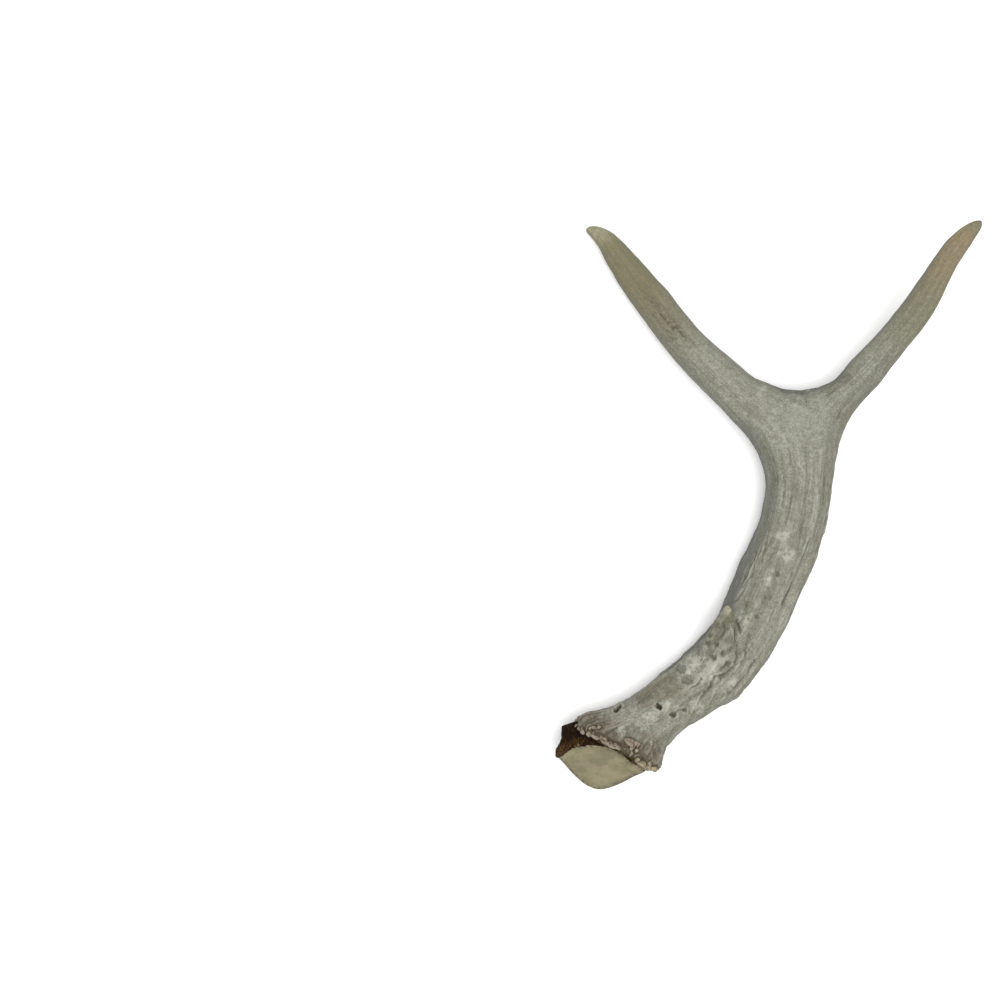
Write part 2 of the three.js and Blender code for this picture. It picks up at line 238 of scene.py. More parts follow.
# The beam. A ring starts at the top and goes round by the left.
beam_rings = np.concatenate(
    [along_lines(left_knots, beam_rows), along_lines(right_knots, beam_rows)[:, -2:0:-1]], axis=1
)
ring_turn = 2 * np.pi * np.arange(LINES) / LINES
ring_grain = GRAIN_RADIUS * np.stack([np.cos(ring_angles), np.sin(ring_angles)], axis=1)
beam_length = beam_gone[-1]
point_rows = []
for ring, row, gone in zip(beam_rings, beam_rows, beam_gone):
    flute = flutes(ring_turn, row / fork, BEAM_FLUTES)
    point_rows.append(add_points(ring, ring_grain, gone, flute, (gone / beam_length, 0, 0)))
for lower, upper in zip(point_rows, point_rows[1:]):
    skin_between(lower, upper)
fork_row = point_rows[-1]

# Under the burr the skin turns in and closes on the pedicle.
rim_middle = beam_rings[0].mean(axis=0)
rim_left, rim_right = np.array(BEAM_SECTIONS[0][:2]), np.array(BEAM_SECTIONS[0][2:4])
along_rim = np.append(rim_right - rim_left, 0)
along_rim /= np.linalg.norm(along_rim)
to_skull = np.array([along_rim[1], -along_rim[0], 0])
last_row = point_rows[0]
for inset, below in ((0.97, 0.7), (0.93, 1.2), (0.86, 1.3), (0.75, 0.9), (0.5, 0.2)):
    ring = rim_middle + (beam_rings[0] - rim_middle) * inset + to_skull * below
    new_row = add_points(ring, ring_grain * inset, -below, 0, (0, 0, 0))
    skin_between(new_row, last_row)
    last_row = new_row
pole = add_points(rim_middle[None], np.zeros((1, 2)), 0, 0, (0, 0, 0))[0]
close_at(last_row, pole, outwards=False)

# The inside of the fork, and a tine on each half of it.
inside_grain = np.column_stack(
    [np.zeros(INSIDE - 1), -GRAIN_RADIUS * np.cos(np.pi * inside_share)]
)
crotch_row = add_points(crotch_arc, inside_grain, beam_length, 0, (1, 0, 0))


def grow_tine(foot, knots, order, rows, gones, grain, tip, way):
    """The skin of a tine, from its foot at the fork to its tip; way is 1 if long, 2 if short."""
    inside_rows = crotch_knot + (-1 if way == 1 else 1) * (rows[1:-1] - fork)
    sides = along_lines(knots, rows[1:-1]), along_lines(inside_knots, inside_rows)
    rings = np.concatenate([side[:, order] for side in sides], axis=1)
    turn = 2 * np.pi * np.arange(rings.shape[1]) / rings.shape[1]
    branch = [1, 0, 0]
    lower = foot
    for ring, row, gone in zip(rings, rows[1:-1], gones[1:-1]):
        branch[way] = gone / gones[-1]
        flute = flutes(turn, (row - fork) / (rows[-1] - fork), TINE_FLUTES)
        upper = add_points(ring, grain, beam_length + gone, flute, branch)
        skin_between(lower, upper)
        lower = upper
    branch[way] = 1
    end = add_points(np.array([tip], float), np.zeros((1, 2)), beam_length + gones[-1], 0, branch)
    close_at(lower, end[0], outwards=True)


long_foot = np.concatenate([fork_row[: HALF + 1], crotch_row])
long_grain = np.concatenate([ring_grain[: HALF + 1], inside_grain])
grow_tine(long_foot, left_knots, slice(None), long_rows, long_gone, long_grain, LONG_TIP, 1)
right_grain = GRAIN_RADIUS * np.stack([np.cos(right_angles), np.sin(right_angles)], axis=1)
short_foot = np.concatenate([fork_row[HALF:], fork_row[:1], crotch_row[::-1]])
short_grain = np.concatenate([right_grain[::-1], inside_grain[::-1]])
backward = slice(None, None, -1)
grow_tine(short_foot, right_knots, backward, short_rows, short_gone, short_grain, SHORT_TIP, 2)

place, grain, flute, branch = (
    np.concatenate(skin[part]) for part in ("place", "grain", "flute", "branch")
)


def four_corners(faces):
    """The corners of each face, with the last one of a triangle said twice."""
    return np.array([[*face, face[2]][:4] for face in faces])


def skin_normals(points, corners):
    """Outward directions, from the diagonals of the faces."""
    face_normals = np.cross(
        points[corners[:, 2]] - points[corners[:, 0]], points[corners[:, 3]] - points[corners[:, 1]]
    )
    at, count = corners.ravel(), len(points)
    total = np.stack([np.bincount(at, np.repeat(part, 4), count) for part in face_normals.T], axis=1)
    return total / np.maximum(np.linalg.norm(total, axis=1, keepdims=True), 1e-12)


def softened(points, corners, weight, rounds):
    """The points drawn towards the middle of their neighbours, by each one's weight."""
    sides = np.concatenate([corners[:, [n, (n + 1) % 4]] for n in range(4)])
    sides = sides[sides[:, 0] != sides[:, 1]]
    sides = sides[(weight[sides] > 0).any(axis=1)]
    count = np.maximum(np.bincount(sides[:, 0], minlength=len(points)), 1)[:, None]
    for _ in range(rounds):
        drawn = np.stack(
            [np.bincount(sides[:, 0], points[sides[:, 1], n], len(points)) for n in range(3)],
            axis=1,
        )
        points = points + weight[:, None] * 0.6 * (drawn / count - points)
    return points


def distance(points, spot):
    return np.linalg.norm(points - spot, axis=1)


# Where the three branches meet, the skin has no corner.
FORK_REACH, FORK_ROUNDS = 14, 90  # how far it is softened, and how many times
corners = four_corners(faces)
near_fork = np.minimum(distance(place, fork_top), distance(place, fork_under))
at_fork = np.clip(1.4 - near_fork / FORK_REACH, 0, 1)
place = softened(place, corners, at_fork, FORK_ROUNDS)
place = place + skin_normals(place, corners) * flute[:, None]


def noise_at(points, scale, seed, octaves=2):
    """Smooth noise of about -1 to 1, at points scaled evenly or by a value for each axis."""
    moved = points * np.array(scale) + seed * 17.3
    return np.array([noise.fractal(Vector(p), 1.0, 2.0, octaves) for p in moved])


def step(value, low, high):
    t = np.clip((value - low) / (high - low), 0, 1)
    return t * t * (3 - 2 * t)


def bell(off, half):
    """1 in the middle, and down to about a third at the half width."""
    return np.exp(-((off / half) ** 2))


def tapered(share, power):
    """Full in the middle of a line, and gone at its two ends."""
    return np.abs(np.sin(np.pi * share)) ** power


# Round the beam, in degrees from the top towards the left, and along it in millimetres.
lean = np.degrees(np.arctan2(-grain[:, 0], grain[:, 1]))
gone = grain[:, 2]
on_beam = (branch[:, 1] == 0) & (branch[:, 2] == 0)
to_tip = np.maximum(branch[:, 1], branch[:, 2])
upper_side = step(place[:, 2], 12, 18)

# The brow nub: a short spur that leans along the beam over its left shoulder.
NUB_FOOT = np.array([41.2, 43.6])
NUB_REACH = np.array([4.5, 15.3, 4.6])
NUB_AHEAD, NUB_BEHIND, NUB_ASIDE = 6.6, 12.5, 7.2
nub_way = NUB_REACH[:2] / np.linalg.norm(NUB_REACH[:2])
from_foot = place[:, :2] - NUB_FOOT
ahead = from_foot @ nub_way
aside = from_foot @ np.array([nub_way[1], -nub_way[0]])
nub_off = np.hypot(ahead / np.where(ahead > 0, NUB_AHEAD, NUB_BEHIND), aside / NUB_ASIDE)
nub = np.clip(1 - nub_off**1.75, 0, 1) * upper_side * (1 - step(lean, 48, 84)) * on_beam
near_nub = np.clip(2 - nub_off, 0, 1) * upper_side * on_beam
place = softened(place + nub[:, None] * NUB_REACH, corners, 0.7 * near_nub, 5)
normal = skin_normals(place, corners)

# Long ridges with thin grooves between them, finer threads, and a lumpy ground.
wander = noise_at(grain, (0.09, 0.09, 0.03), 1)
swayed = grain + np.column_stack([2.2 * wander, 2.2 * wander, np.zeros(len(grain))])
ridges = noise_at(swayed, (0.17, 0.17, 0.012), 2)
grooves = bell(noise_at(swayed, (0.2, 0.2, 0.014), 3), 0.08)
fine_grooves = bell(noise_at(swayed, (0.5, 0.5, 0.035), 8), 0.12)
threads = noise_at(grain, (1.15, 1.15, 0.05), 4, 3)
lumps = noise_at(place, 0.2, 5, 3)
broken = step(noise_at(grain, (0.12, 0.12, 0.06), 15), -0.3, 0.3)
scales = noise_at(place, 0.17, 9, 3)
swept = np.column_stack([noise_at(place, 0.55, seed, 2) for seed in (12, 13)])

off_nub = 1 - step(nub, 0, 0.4)
low_beam = (1 - step(gone, 45, 85)) * on_beam
ridged = step(gone, 14, 50) * (1 - 0.85 * step(gone, 95, 185)) * off_nub
convex = 1 - step(lean, -25, 35)
ridge_height = (0.3 + 0.5 * convex) * ridges * ridged
relief = ridge_height - ridged * broken * (0.08 + 0.1 * convex) * grooves
relief -= 0.1 * ridged * (1 - 0.7 * low_beam) * (0.4 + 0.6 * convex) * fine_grooves
relief += (0.07 * threads + 0.2 * lumps) * (1 - 0.55 * to_tip)
relief -= 0.4 * (1 - 0.85 * step(to_tip, 0.15, 0.6))

# Long grooves left by the vessels of the velvet: lean at each end, from and to, and depth.
GROOVES = [
    (-41, -34, 48, 150, 0.36), (-62, -54, 36, 138, 0.4), (-24, -8, 72, 160, 0.2),
    (-73, -68, 60, 170, 0.3), (-52, -44, 96, 190, 0.24), (20, 12, 84, 172, 0.18),
    (38, 26, 76, 150, 0.24), (58, 44, 70, 160, 0.24),
]
BACK_GROOVES = 14
chance = random.Random(11)
for _ in range(BACK_GROOVES):
    groove_lean, groove_from = chance.uniform(80, 275), chance.uniform(14, 90)
    groove_to = groove_from + chance.uniform(50, 110)
    turned_by = chance.uniform(-12, 12)
    groove_depth = chance.uniform(0.2, 0.5)
    GROOVES.append((groove_lean, groove_lean + turned_by, groove_from, groove_to, groove_depth))
groove_sway = 7 * noise_at(grain, (0.05, 0.05, 0.04), 31, 4)
scored = np.zeros(len(place))
for first_lean, last_lean, first, last, depth in GROOVES:
    share = np.clip((gone - first) / (last - first), 0, 1)
    middle_lean = first_lean + (last_lean - first_lean) * share + groove_sway
    off = np.mod(lean - middle_lean + 180, 360) - 180
    depth_here = depth * tapered(share, 0.5) * (1 - 0.5 * to_tip)
    scored += depth_here * (bell(off, 2.3) - 0.35 * bell(off - 7, 4))
scored *= off_nub * (0.2 + 0.8 * broken)


def beside(line, unsteady=0.5):
    """How far each point is from a line in plan, plus to its left, and its share along it."""
    line = np.array(line, float)
    lengths = np.linalg.norm(np.diff(line, axis=0), axis=1)
    off, share = np.full(len(place), 99.0), np.zeros(len(place))
    for n, (start, end) in enumerate(zip(line[:-1], line[1:])):
        way = (end - start) / lengths[n]
        from_start = place[:, :2] + unsteady * swept - start
        reached = np.clip(from_start @ way, 0, lengths[n])
        apart = from_start - reached[:, None] * way
        side = np.where(way[0] * apart[:, 1] > way[1] * apart[:, 0], 1, -1)
        far = np.linalg.norm(apart, axis=1)
        closer = far < np.abs(off)
        off = np.where(closer, side * far, off)
        share = np.where(closer, (lengths[:n].sum() + reached) / lengths.sum(), share)
    return off, np.clip(share, 0, 1)


# Worn ledges that run up the lower beam: each one's foot in plan, from the burr's end, and its
# height. The higher ground is on the left.
LEDGES = [
    ([(26, 5.5), (28, 9.5), (30.3, 13.3), (31.8, 15.9), (33.8, 19.9), (35.5, 22.7), (36.9, 23.6),
      (38.2, 26.4), (39.8, 29.8), (42.9, 30), (46.3, 32.3), (48, 34.3), (48.5, 37.1),
      (48.9, 40.4), (49.2, 44.2)], 0.6),
    ([(34.5, 12.5), (37.9, 17.7), (39.2, 20.5), (41, 24.1), (45, 28.1), (48.7, 31.6),
      (50.9, 34.7), (52.8, 39.4), (56, 44)], 0.45),
    ([(43, 18.5), (46.5, 22.5), (49.9, 26.8), (53, 29.8), (55.9, 34.9), (60.5, 40)], 0.5),
]
ledge_line = np.zeros(len(place))
ledges = np.zeros(len(place))
for foot, height in LEDGES:
    off, share = beside(foot)
    fade = tapered(share, 0.4) * upper_side * on_beam
    ledges += height * fade * step(off, -0.3, 0.4) * bell(off, 5)
    ledges -= 0.35 * height * fade * bell(off + 1, 0.9)
    ledge_line += fade * bell(off + 0.25, 0.45) * (0.35 + 0.65 * broken)

# Short creases: each one's line in plan, its half width and its depth.
CREASES = [
    ([(34.6, 28.6), (32.8, 25.9), (29.4, 23.7)], 0.4, 0.4),
    ([(22.8, 13.4), (25, 15.4), (27.3, 15.6)], 0.35, 0.35),
    ([(48.9, 54), (49.6, 50.4), (50.9, 46.5)], 0.55, 0.42),
    ([(46.6, 54), (46.8, 51.5), (48, 49), (48.6, 46.2)], 0.4, 0.15),
    ([(43.2, 52.5), (43.8, 49.6), (42.6, 46.6), (41.2, 45)], 0.5, 0.35),
    ([(40.8, 38.6), (43.4, 38.7), (45.8, 40.9), (47.6, 40.3)], 0.4, 0.35),
    ([(45.4, 35.1), (44, 33.4), (41.6, 33)], 0.35, 0.3),
    ([(53.2, 37), (52.6, 40.4), (54, 44.5)], 0.35, 0.3),
    ([(57.7, 81.4), (54.6, 74.1), (51.4, 67.5)], 0.35, 0.45),
    ([(59.8, 83.8), (57.3, 76.9), (55.3, 70.3), (51.8, 66.4)], 0.3, 0.35),
    ([(54.6, 68.5), (51.1, 63), (48, 59.5)], 0.35, 0.45),
    ([(63, 92), (61.5, 84), (59.5, 76)], 0.3, 0.25),
]
creased = np.zeros(len(place))
for line, half, depth in CREASES:
    off, share = beside(line)
    fade = tapered(share, 0.3) * upper_side
    creased += depth * bell(off, half) * fade

scaly = (1 - step(gone, 50, 110)) * off_nub * on_beam
relief += ledges - scored - creased
relief += scaly * (0.22 * step(scales, -0.2, 0.1) + 0.18 * step(scales, 0.15, 0.35))

# Pits: where each is in plan, its half width and its depth. More lie round the back.
PITS = [
    (16.6, 17.3, 1.2, 1.5), (17.5, 16.3, 0.8, 1.2), (22.8, 13.4, 1.1, 1), (27.3, 15.6, 0.9, 0.7),
    (34.5, 36.5, 0.5, 0.6), (35.4, 35.9, 0.35, 0.5), (37, 43, 1.2, 0.6), (40.5, 42.7, 1, 0.8),
    (39.4, 37.2, 1.2, 0.8), (43.4, 38.7, 1.2, 0.8), (45.4, 35.1, 1.1, 0.75),
    (34.6, 28.6, 0.8, 0.5), (0.5, 16.4, 1.1, 1.4), (-1, 15.6, 0.9, 1.2), (8.8, 8.4, 0.5, 0.6),
    (57.6, 54, 0.8, 0.55), (54, 53.2, 0.5, 0.4), (66.4, 71.7, 0.9, 0.4), (66.4, 77.6, 0.7, 0.3),
    (61.1, 61.9, 0.8, 0.35), (47.1, 39.9, 0.7, 0.5), (38.1, 46.2, 0.9, 0.4), (20, 8.5, 0.6, 0.35),
]
BACK_PITS = 22
frayed = swept + 0.5 * np.column_stack(
    [noise_at(place, 1.3, seed, 1) for seed in (16, 17)]
)


def pit(off, depth):
    """A rounded pit with a low rim, by the distance from its middle over its half width."""
    return depth * np.exp(-(off**2.2)) - 0.15 * depth * bell(off - 1.5, 0.4)


pitted = np.zeros(len(place))
for x, y, half, depth in PITS:
    off = distance(place[:, :2] + 0.6 * half * frayed, (x, y)) / half
    pitted += pit(off, depth) * upper_side
chance = random.Random(7)
for _ in range(BACK_PITS):
    pit_lean, pit_gone = chance.uniform(100, 260), chance.triangular(8, 110, 30)
    half, depth = chance.uniform(0.8, 1.8), chance.uniform(0.3, 0.9)
    round_off = (np.mod(lean - pit_lean + 180, 360) - 180) * np.pi / 180 * GRAIN_RADIUS
    off = np.hypot(round_off + half * frayed[:, 0], gone - pit_gone + half * frayed[:, 1]) / half
    pitted += pit(off, depth) * step(np.abs(lean), 112, 128) * on_beam
relief -= pitted

# Old scars: round, flat and stained, in plan with the half width and how strong each one is.
SCARS = [
    (26.4, 32.6, 1.7, 1), (28.6, 28.4, 1.8, 1), (24.6, 26.9, 1.1, 0.5), (22.9, 27.4, 1.5, 0.6),
    (12.9, 21.3, 1.5, 0.6), (37.3, 25.7, 1.6, 0.6), (9.4, 20, 1.7, 0.6), (46.9, 23.2, 1.8, 0.5),
    (61.1, 61.9, 2, 0.5), (63.5, 66, 1.4, 0.3), (5.7, 7, 2.6, 0.9), (45.2, 31.4, 2.4, 0.6),
]
scarred, scar_rims = np.zeros(len(place)), np.zeros(len(place))
for x, y, half, much in SCARS:
    off = distance(place[:, :2] + 0.45 * half * frayed, (x, y)) / half
    scarred = np.maximum(scarred, much * np.exp(-(off**4)) * upper_side)
    scar_rims += much * bell(off - 1, 0.2) * upper_side
relief -= 0.3 * scarred + 0.1 * scar_rims

# Near the burr the bone is drawn into folds that run out to the beads.
folds = noise_at(swayed, (0.5, 0.5, 0.03), 7, 2)
fold_creases = bell(folds, 0.13)
at_burr = 1 - step(gone, 1, 15)
folded = 0.6 * np.abs(folds) - 0.5 * fold_creases + 0.5 * lumps - 0.15
relief += at_burr * folded * step(gone, -0.6, 0.4)
knuckles = noise_at(grain, (0.42, 0.42, 0.2), 18, 2)
relief += 0.7 * bell(gone - 1.3, 1.3) * (0.55 + knuckles) * on_beam

# The skin swells and sinks here and there: in plan, with the half width and the height.
SWELLS = [
    (50.9, 19.8, 2.4, 0.6), (38, 12.3, 5, 0.45), (23.3, 0.5, 6, 0.7), (19, -6.6, 4, 0.6),
    (-13.4, 14.3, 4.5, 1.2), (63.9, 35.9, 3.5, 0.45), (70.5, 49, 6, 0.5), (91.5, 117, 7, 0.45),
    (85.8, 84, 6, -0.5), (58.5, 94, 6, -0.55), (54.5, 84, 5, -0.35), (22.3, 191.2, 5, 0.5),
    (-4.8, 203.5, 4, 0.35), (116.5, 161.5, 5, 0.5), (129.5, 182.3, 5, 0.3), (62.3, 151.4, 5, 0.7),
]
for x, y, half, height in SWELLS:
    relief += height * bell(distance(place[:, :2], (x, y)), half)

# Small knobs stand along the outside of the bend under the fork, and inside the fork.
knobs = noise_at(place, 0.27, 26, 4)
outside_bend = step(-lean, 55, 80) * (1 - step(-lean, 110, 140))
outside_bend *= step(gone, 98, 116) * (1 - step(gone, 152, 166)) * on_beam
crotch_off = np.full(len(place), 99.0)
for at in crotch_arc[::4]:
    crotch_off = np.minimum(crotch_off, distance(place, at))
crotch_edge = bell(crotch_off, 13) * step(normal[:, 1], -0.1, 0.4)
relief += 0.36 * knobs * np.maximum(outside_bend, 0.9 * crotch_edge)

# The tips are worn smooth.
relief *= 1 - step(to_tip, 0.88, 0.965)
place = place + normal * relief[:, None]
worn_tips = step(branch[:, 1], 0.93, 0.97) + 0.4 * step(branch[:, 2], 0.95, 0.99)
place = softened(place, corners, worn_tips, 10)

# It keeps inside its measured size.
MARGIN = 0.02
LOW_CORNER, HIGH_CORNER = (np.array(c) / MM - BURR_PLACE for c in cad_box)


def kept_in(points):
    return np.clip(points, LOW_CORNER + MARGIN, HIGH_CORNER - MARGIN)


place = kept_in(place)

# What lies lower than the skin round it is painted darker as shade, and what stands out is worn
# pale.
normal = skin_normals(place, corners)
off_tip = 1 - step(to_tip, 0.95, 0.985)


def hollowness(points, corners, normals, rounds):
    """How far each point lies below the middle of its neighbourhood."""
    drawn = softened(points, corners, np.ones(len(points)), rounds) - points
    return (drawn * normals).sum(axis=1)


hollow = hollowness(place, corners, normal, 6) * off_tip
wide_hollow = hollowness(place, corners, normal, 40) * off_tip

# The grain is calmer at the fork. Shade is painted inside the fork, and a dark film with painted
# shade on the underside of the burr's edge.
calm = bell(near_fork, 17)
steep = step(1 - np.abs(normal[:, 2]), 0.2, 0.85)
# Painted shade: the steep inside of the fork.
in_crotch = crotch_edge * step(1 - normal[:, 2], 0.15, 0.7)
past_rim = (place - rim_middle) @ to_skull
# Film with painted shade: the underside of the burr's rim, towards the skull.
burr_edge = (1 - step(gone, 1.5, 4)) * step(past_rim, -1.0, 0.3)


def object_of(name, data):
    made = bpy.data.objects.new(name, data)
    bpy.context.scene.collection.objects.link(made)
    return made


def piece_from(name, points_mm, piece_faces):
    """A smooth-shaded piece in metres, in the part's frame, from points in millimetres."""
    mesh = bpy.data.meshes.new(name)
    mesh.from_pydata(((points_mm + BURR_PLACE) * MM).tolist(), [], piece_faces)
    mesh.shade_smooth()
    return object_of(name, mesh)


def carry(piece, **fields):
    """Values or vectors for each point, which the piece's material reads by name."""
    for name, values in fields.items():
        values = np.asarray(values, np.float32)
        kind, field = ("FLOAT", "value") if values.ndim == 1 else ("FLOAT_VECTOR", "vector")
        attribute = piece.data.attributes.new(name, kind, "POINT")
        attribute.data.foreach_set(field, values.ravel())


antler = piece_from("antler", place, faces)
# Dark lines in the grooves, ledges, creases and folds: dirt in them, with painted shade.
dark_lines = 0.75 * np.clip(scored / 0.35, 0, 1) + ledge_line + creased / 0.4
dark_lines += 0.9 * fold_creases * at_burr
carry(antler, grain=grain, branch=branch, hollow=hollow, wide_hollow=wide_hollow, pits=pitted)
carry(antler, lines=np.clip(dark_lines, 0, 1), scars=np.clip(0.6 * scarred + 0.6 * scar_rims, 0, 1))
carry(antler, nub=nub, ridge=ridge_height + 0.3 * ledges, calm=calm)

# Weathering that lies in its own places: the reddened flare at the burr, and warm brown clouds
# and bleached patches on the lower beam.
BROWN_PLACES = [
    (20.4, 25.3, 5), (14, 22, 4), (10.5, 19.6, 4), (25, 22, 4), (40.5, 47.5, 4),
]
PALE_PLACES = [
    (30.4, 34.5, 6), (35.5, 33, 4.5), (0.9, 8, 2.3), (13, 12.4, 3.2), (52, 53.5, 2.4),
    (20, 18, 2.4), (39, 29.5, 3), (40.5, 34, 2.5), (47.4, 25.4, 2), (33, 17, 3), (68.6, 88, 4),
    (70, 79, 4), (62.5, 69, 3),
]
# Dusty streaks that bend over from the beam into the long tine, with one more beside the nub,
# streaks that are worn pale, and fine cracks along the long tine, each with its half width.
DUSTY = [
    ([(77, 89), (76.2, 99.6), (74.3, 106.3), (70.2, 112.3), (64.2, 119.8), (56.7, 130.3),
      (49.2, 138.6)], 0.5),
    ([(65.7, 81.5), (67.6, 92), (65.3, 102.6), (66.1, 110.8), (61.9, 120.6), (55.9, 128.8),
      (45.4, 138.6), (36.4, 149.9)], 1.3),
    ([(56.7, 77.8), (61.9, 90.5), (63.6, 104.1), (63.1, 114.6)], 0.5),
    ([(74, 77.8), (76.2, 89), (75.1, 96.5), (75.5, 104.1)], 0.6),
    ([(52.9, 144.6), (58.9, 139.4), (66.5, 137.1), (73.2, 138.6)], 0.6),
    ([(83, 131.1), (76.2, 126.6), (78.5, 117.6)], 0.6),
    ([(46.3, 61.5), (48.4, 57.5), (49.2, 53.5)], 1.6),
]
WORN_PALE = [
    ([(77.7, 107.1), (71, 120.6), (61.2, 131.5), (48.4, 142.7), (38.7, 151)], 0.9),
    ([(70.2, 77), (68.3, 89), (67.2, 104.1), (68, 110.1)], 1.5),
    ([(79.2, 81.5), (82.2, 96.5), (83.7, 108.6)], 1),
    ([(58.2, 143.1), (65.7, 131.8), (73.2, 121.3), (79.2, 110.1)], 0.7),
]
CRACKS = [
    ([(6.3, 198.1), (9.7, 190.6), (16, 184.3), (20.2, 178), (24.4, 173.8)], 0.45),
    ([(1.5, 204), (3.2, 200.5), (8.6, 195.4), (12, 190.4), (17, 182.4), (27, 171.5)], 0.35),
    ([(-3.6, 209), (-0.6, 207), (1.8, 204.4)], 0.3),
    ([(13, 190), (19, 181.6), (22.4, 178.4), (30, 168)], 0.22),
    ([(8.8, 187.4), (15.6, 180.2), (24.6, 169.4)], 0.2),
]
flared = 1 - step(gone + 3 * lumps - 3 * step(lean, 10, 60), 4, 12)
spread = place[:, :2] + 2.2 * np.column_stack([lumps, scales])
crackle = step(noise_at(place, 0.75, 41, 2), -0.3, 0.0)
on_whole = 0.35 + 0.65 * step(noise_at(place, 0.5, 44, 2), -0.2, 0.2)


def clouded(places):
    made = np.zeros(len(place))
    for x, y, half in places:
        made = np.maximum(made, bell(distance(spread, (x, y)), half) * upper_side)
    return made


def streaked(lines):
    made = np.zeros(len(place))
    for line, half in lines:
        off, share = beside(line, 0.8)
        made = np.maximum(made, bell(off, half) * tapered(share, 0.4) * upper_side * on_whole)
    return made


cracked = np.zeros(len(place))
for line, half in CRACKS:
    off, _ = beside(line, 0.9)
    crack = np.maximum(bell(off, half) * crackle, 0.22 * bell(off, 2.4))
    cracked = np.maximum(cracked, crack * upper_side)
# Painted shade: the beam's left flank, the tines' steep sides and the beam's right flank are
# darkened as if lit from above.
low_flank = 1 - step(gone, 50, 68)
flank_from = 34 + 26 * low_flank - 20 * bell(gone - 78, 14)
flank_to = flank_from + 46 - 22 * low_flank
inner_flank_shade = step(lean, flank_from, flank_to) * (1 - step(lean, 120, 170)) * on_beam
inner_flank_shade *= (0.3 + 0.7 * step(gone, 34, 48)) * (1 - 0.25 * step(gone, 95, 125))
tine_side_shade = 0.45 * steep * (1 - on_beam)
outer_flank = step(-lean, 30, 75) * (1 - step(-lean, 120, 170)) * (1 - to_tip)
carry(antler, browned=clouded(BROWN_PLACES), bleached=clouded(PALE_PLACES))
carry(antler, dusty=streaked(DUSTY), worn_pale=streaked(WORN_PALE))
carry(antler, cracks=cracked * step(to_tip, 0, 0.1), in_crotch=in_crotch, burr_edge=burr_edge)
carry(antler, flare=flared * on_beam, outer_flank=outer_flank * (1 - flared))
carry(antler, flank=np.maximum(inner_flank_shade, tine_side_shade) * (1 - 0.9 * flared))


def fill(socket, value):
    """A socket takes a link from another one, or a number, a vector or a colour."""
    if isinstance(value, bpy.types.NodeSocket):
        socket.id_data.links.new(value, socket)
    else:
        socket.default_value = (*value, 1) if socket.type == "RGBA" else value


def add(tree, kind, **settings):
    """A node with its settings, and its inputs by name."""
    made = tree.nodes.new(kind)
    for name, value in settings.items():
        if name in made.inputs:
            fill(made.inputs[name], value)
        else:
            setattr(made, name, value)
    return made


def new_material(name):
    """A material, its shader, and a way to read what a piece carries for it."""
    material = bpy.data.materials.new(name)
    material.use_nodes = True
    tree = material.node_tree

    def read(attribute, output="Fac"):
        return add(tree, "ShaderNodeAttribute", attribute_name=attribute).outputs[output]

    return material, tree.nodes["Principled BSDF"], read


def on_body(material):
    return add(material.node_tree, "ShaderNodeTexCoord").outputs["Object"]


def scaled(vector, scale):
    stretched = add(vector.id_data, "ShaderNodeVectorMath", operation="MULTIPLY", Vector=vector)
    fill(stretched.inputs[1], scale)
    return stretched.outputs[0]


def speckle(vector, scale, detail=3, roughness=0.55):
    looks = {"Scale": scale, "Detail": detail, "Roughness": roughness}
    return add(vector.id_data, "ShaderNodeTexNoise", Vector=vector, **looks).outputs["Fac"]


def between(value, low, high, to_low=0, to_high=1):
    """How far a value is from low to high, eased at both ends."""
    ends = {"From Min": low, "From Max": high, "To Min": to_low, "To Max": to_high}
    made = add(value.id_data, "ShaderNodeMapRange", interpolation_type="SMOOTHSTEP", **ends)
    fill(made.inputs["Value"], value)
    return made.outputs["Result"]


def times(first, second, operation="MULTIPLY"):
    made = add(first.id_data, "ShaderNodeMath", operation=operation)
    fill(made.inputs[0], first)
    fill(made.inputs[1], second)
    return made.outputs[0]


def over(share, under, upper):
    """One colour laid over another by a share."""
    made = add(share.id_data, "ShaderNodeMix", data_type="RGBA")
    for number, value in ((0, share), (6, under), (7, upper)):
        fill(made.inputs[number], value)
    return made.outputs[2]


def layered(colour, layers):
    """A colour with others laid over it in turn, each by its share."""
    for share, upper in layers:
        colour = over(share, colour, upper)
    return colour


def finish(shader, colour, roughness, gloss, height, strength, depth):
    """The surface that a material shows, with a fine relief from its height."""
    relief = add(shader.id_data, "ShaderNodeBump", Height=height, Strength=strength, Distance=depth)
    fill(shader.inputs["Base Color"], colour)
    fill(shader.inputs["Roughness"], roughness)
    fill(shader.inputs["Specular IOR Level"], gloss)
    fill(shader.inputs["Normal"], relief.outputs[0])


# Mottle that every old surface of the antler has: clouds of stain, and motes of dirt.
mottle = bpy.data.node_groups.new("old_bone_mottle", "ShaderNodeTree")
for made in ("Body", "Cloud Scale", "Mote Scale"):
    kind = "NodeSocketVector" if made == "Body" else "NodeSocketFloat"
    mottle.interface.new_socket(made, in_out="INPUT", socket_type=kind)
for made in ("Clouds", "Motes", "Height"):
    mottle.interface.new_socket(made, in_out="OUTPUT", socket_type="NodeSocketFloat")
given, outs = mottle.nodes.new("NodeGroupInput").outputs, mottle.nodes.new("NodeGroupOutput")
fill(outs.inputs["Clouds"], speckle(given["Body"], given["Cloud Scale"], 4, 0.62))
mote_noise = speckle(given["Body"], given["Mote Scale"], 4, 0.62)
fill(outs.inputs["Motes"], mote_noise)
fill(outs.inputs["Height"], times(mote_noise, 0.6))


def mottled(body, cloud_scale, mote_scale):
    scales = {"Cloud Scale": cloud_scale, "Mote Scale": mote_scale}
    return add(body.id_data, "ShaderNodeGroup", node_tree=mottle, Body=body, **scales).outputs


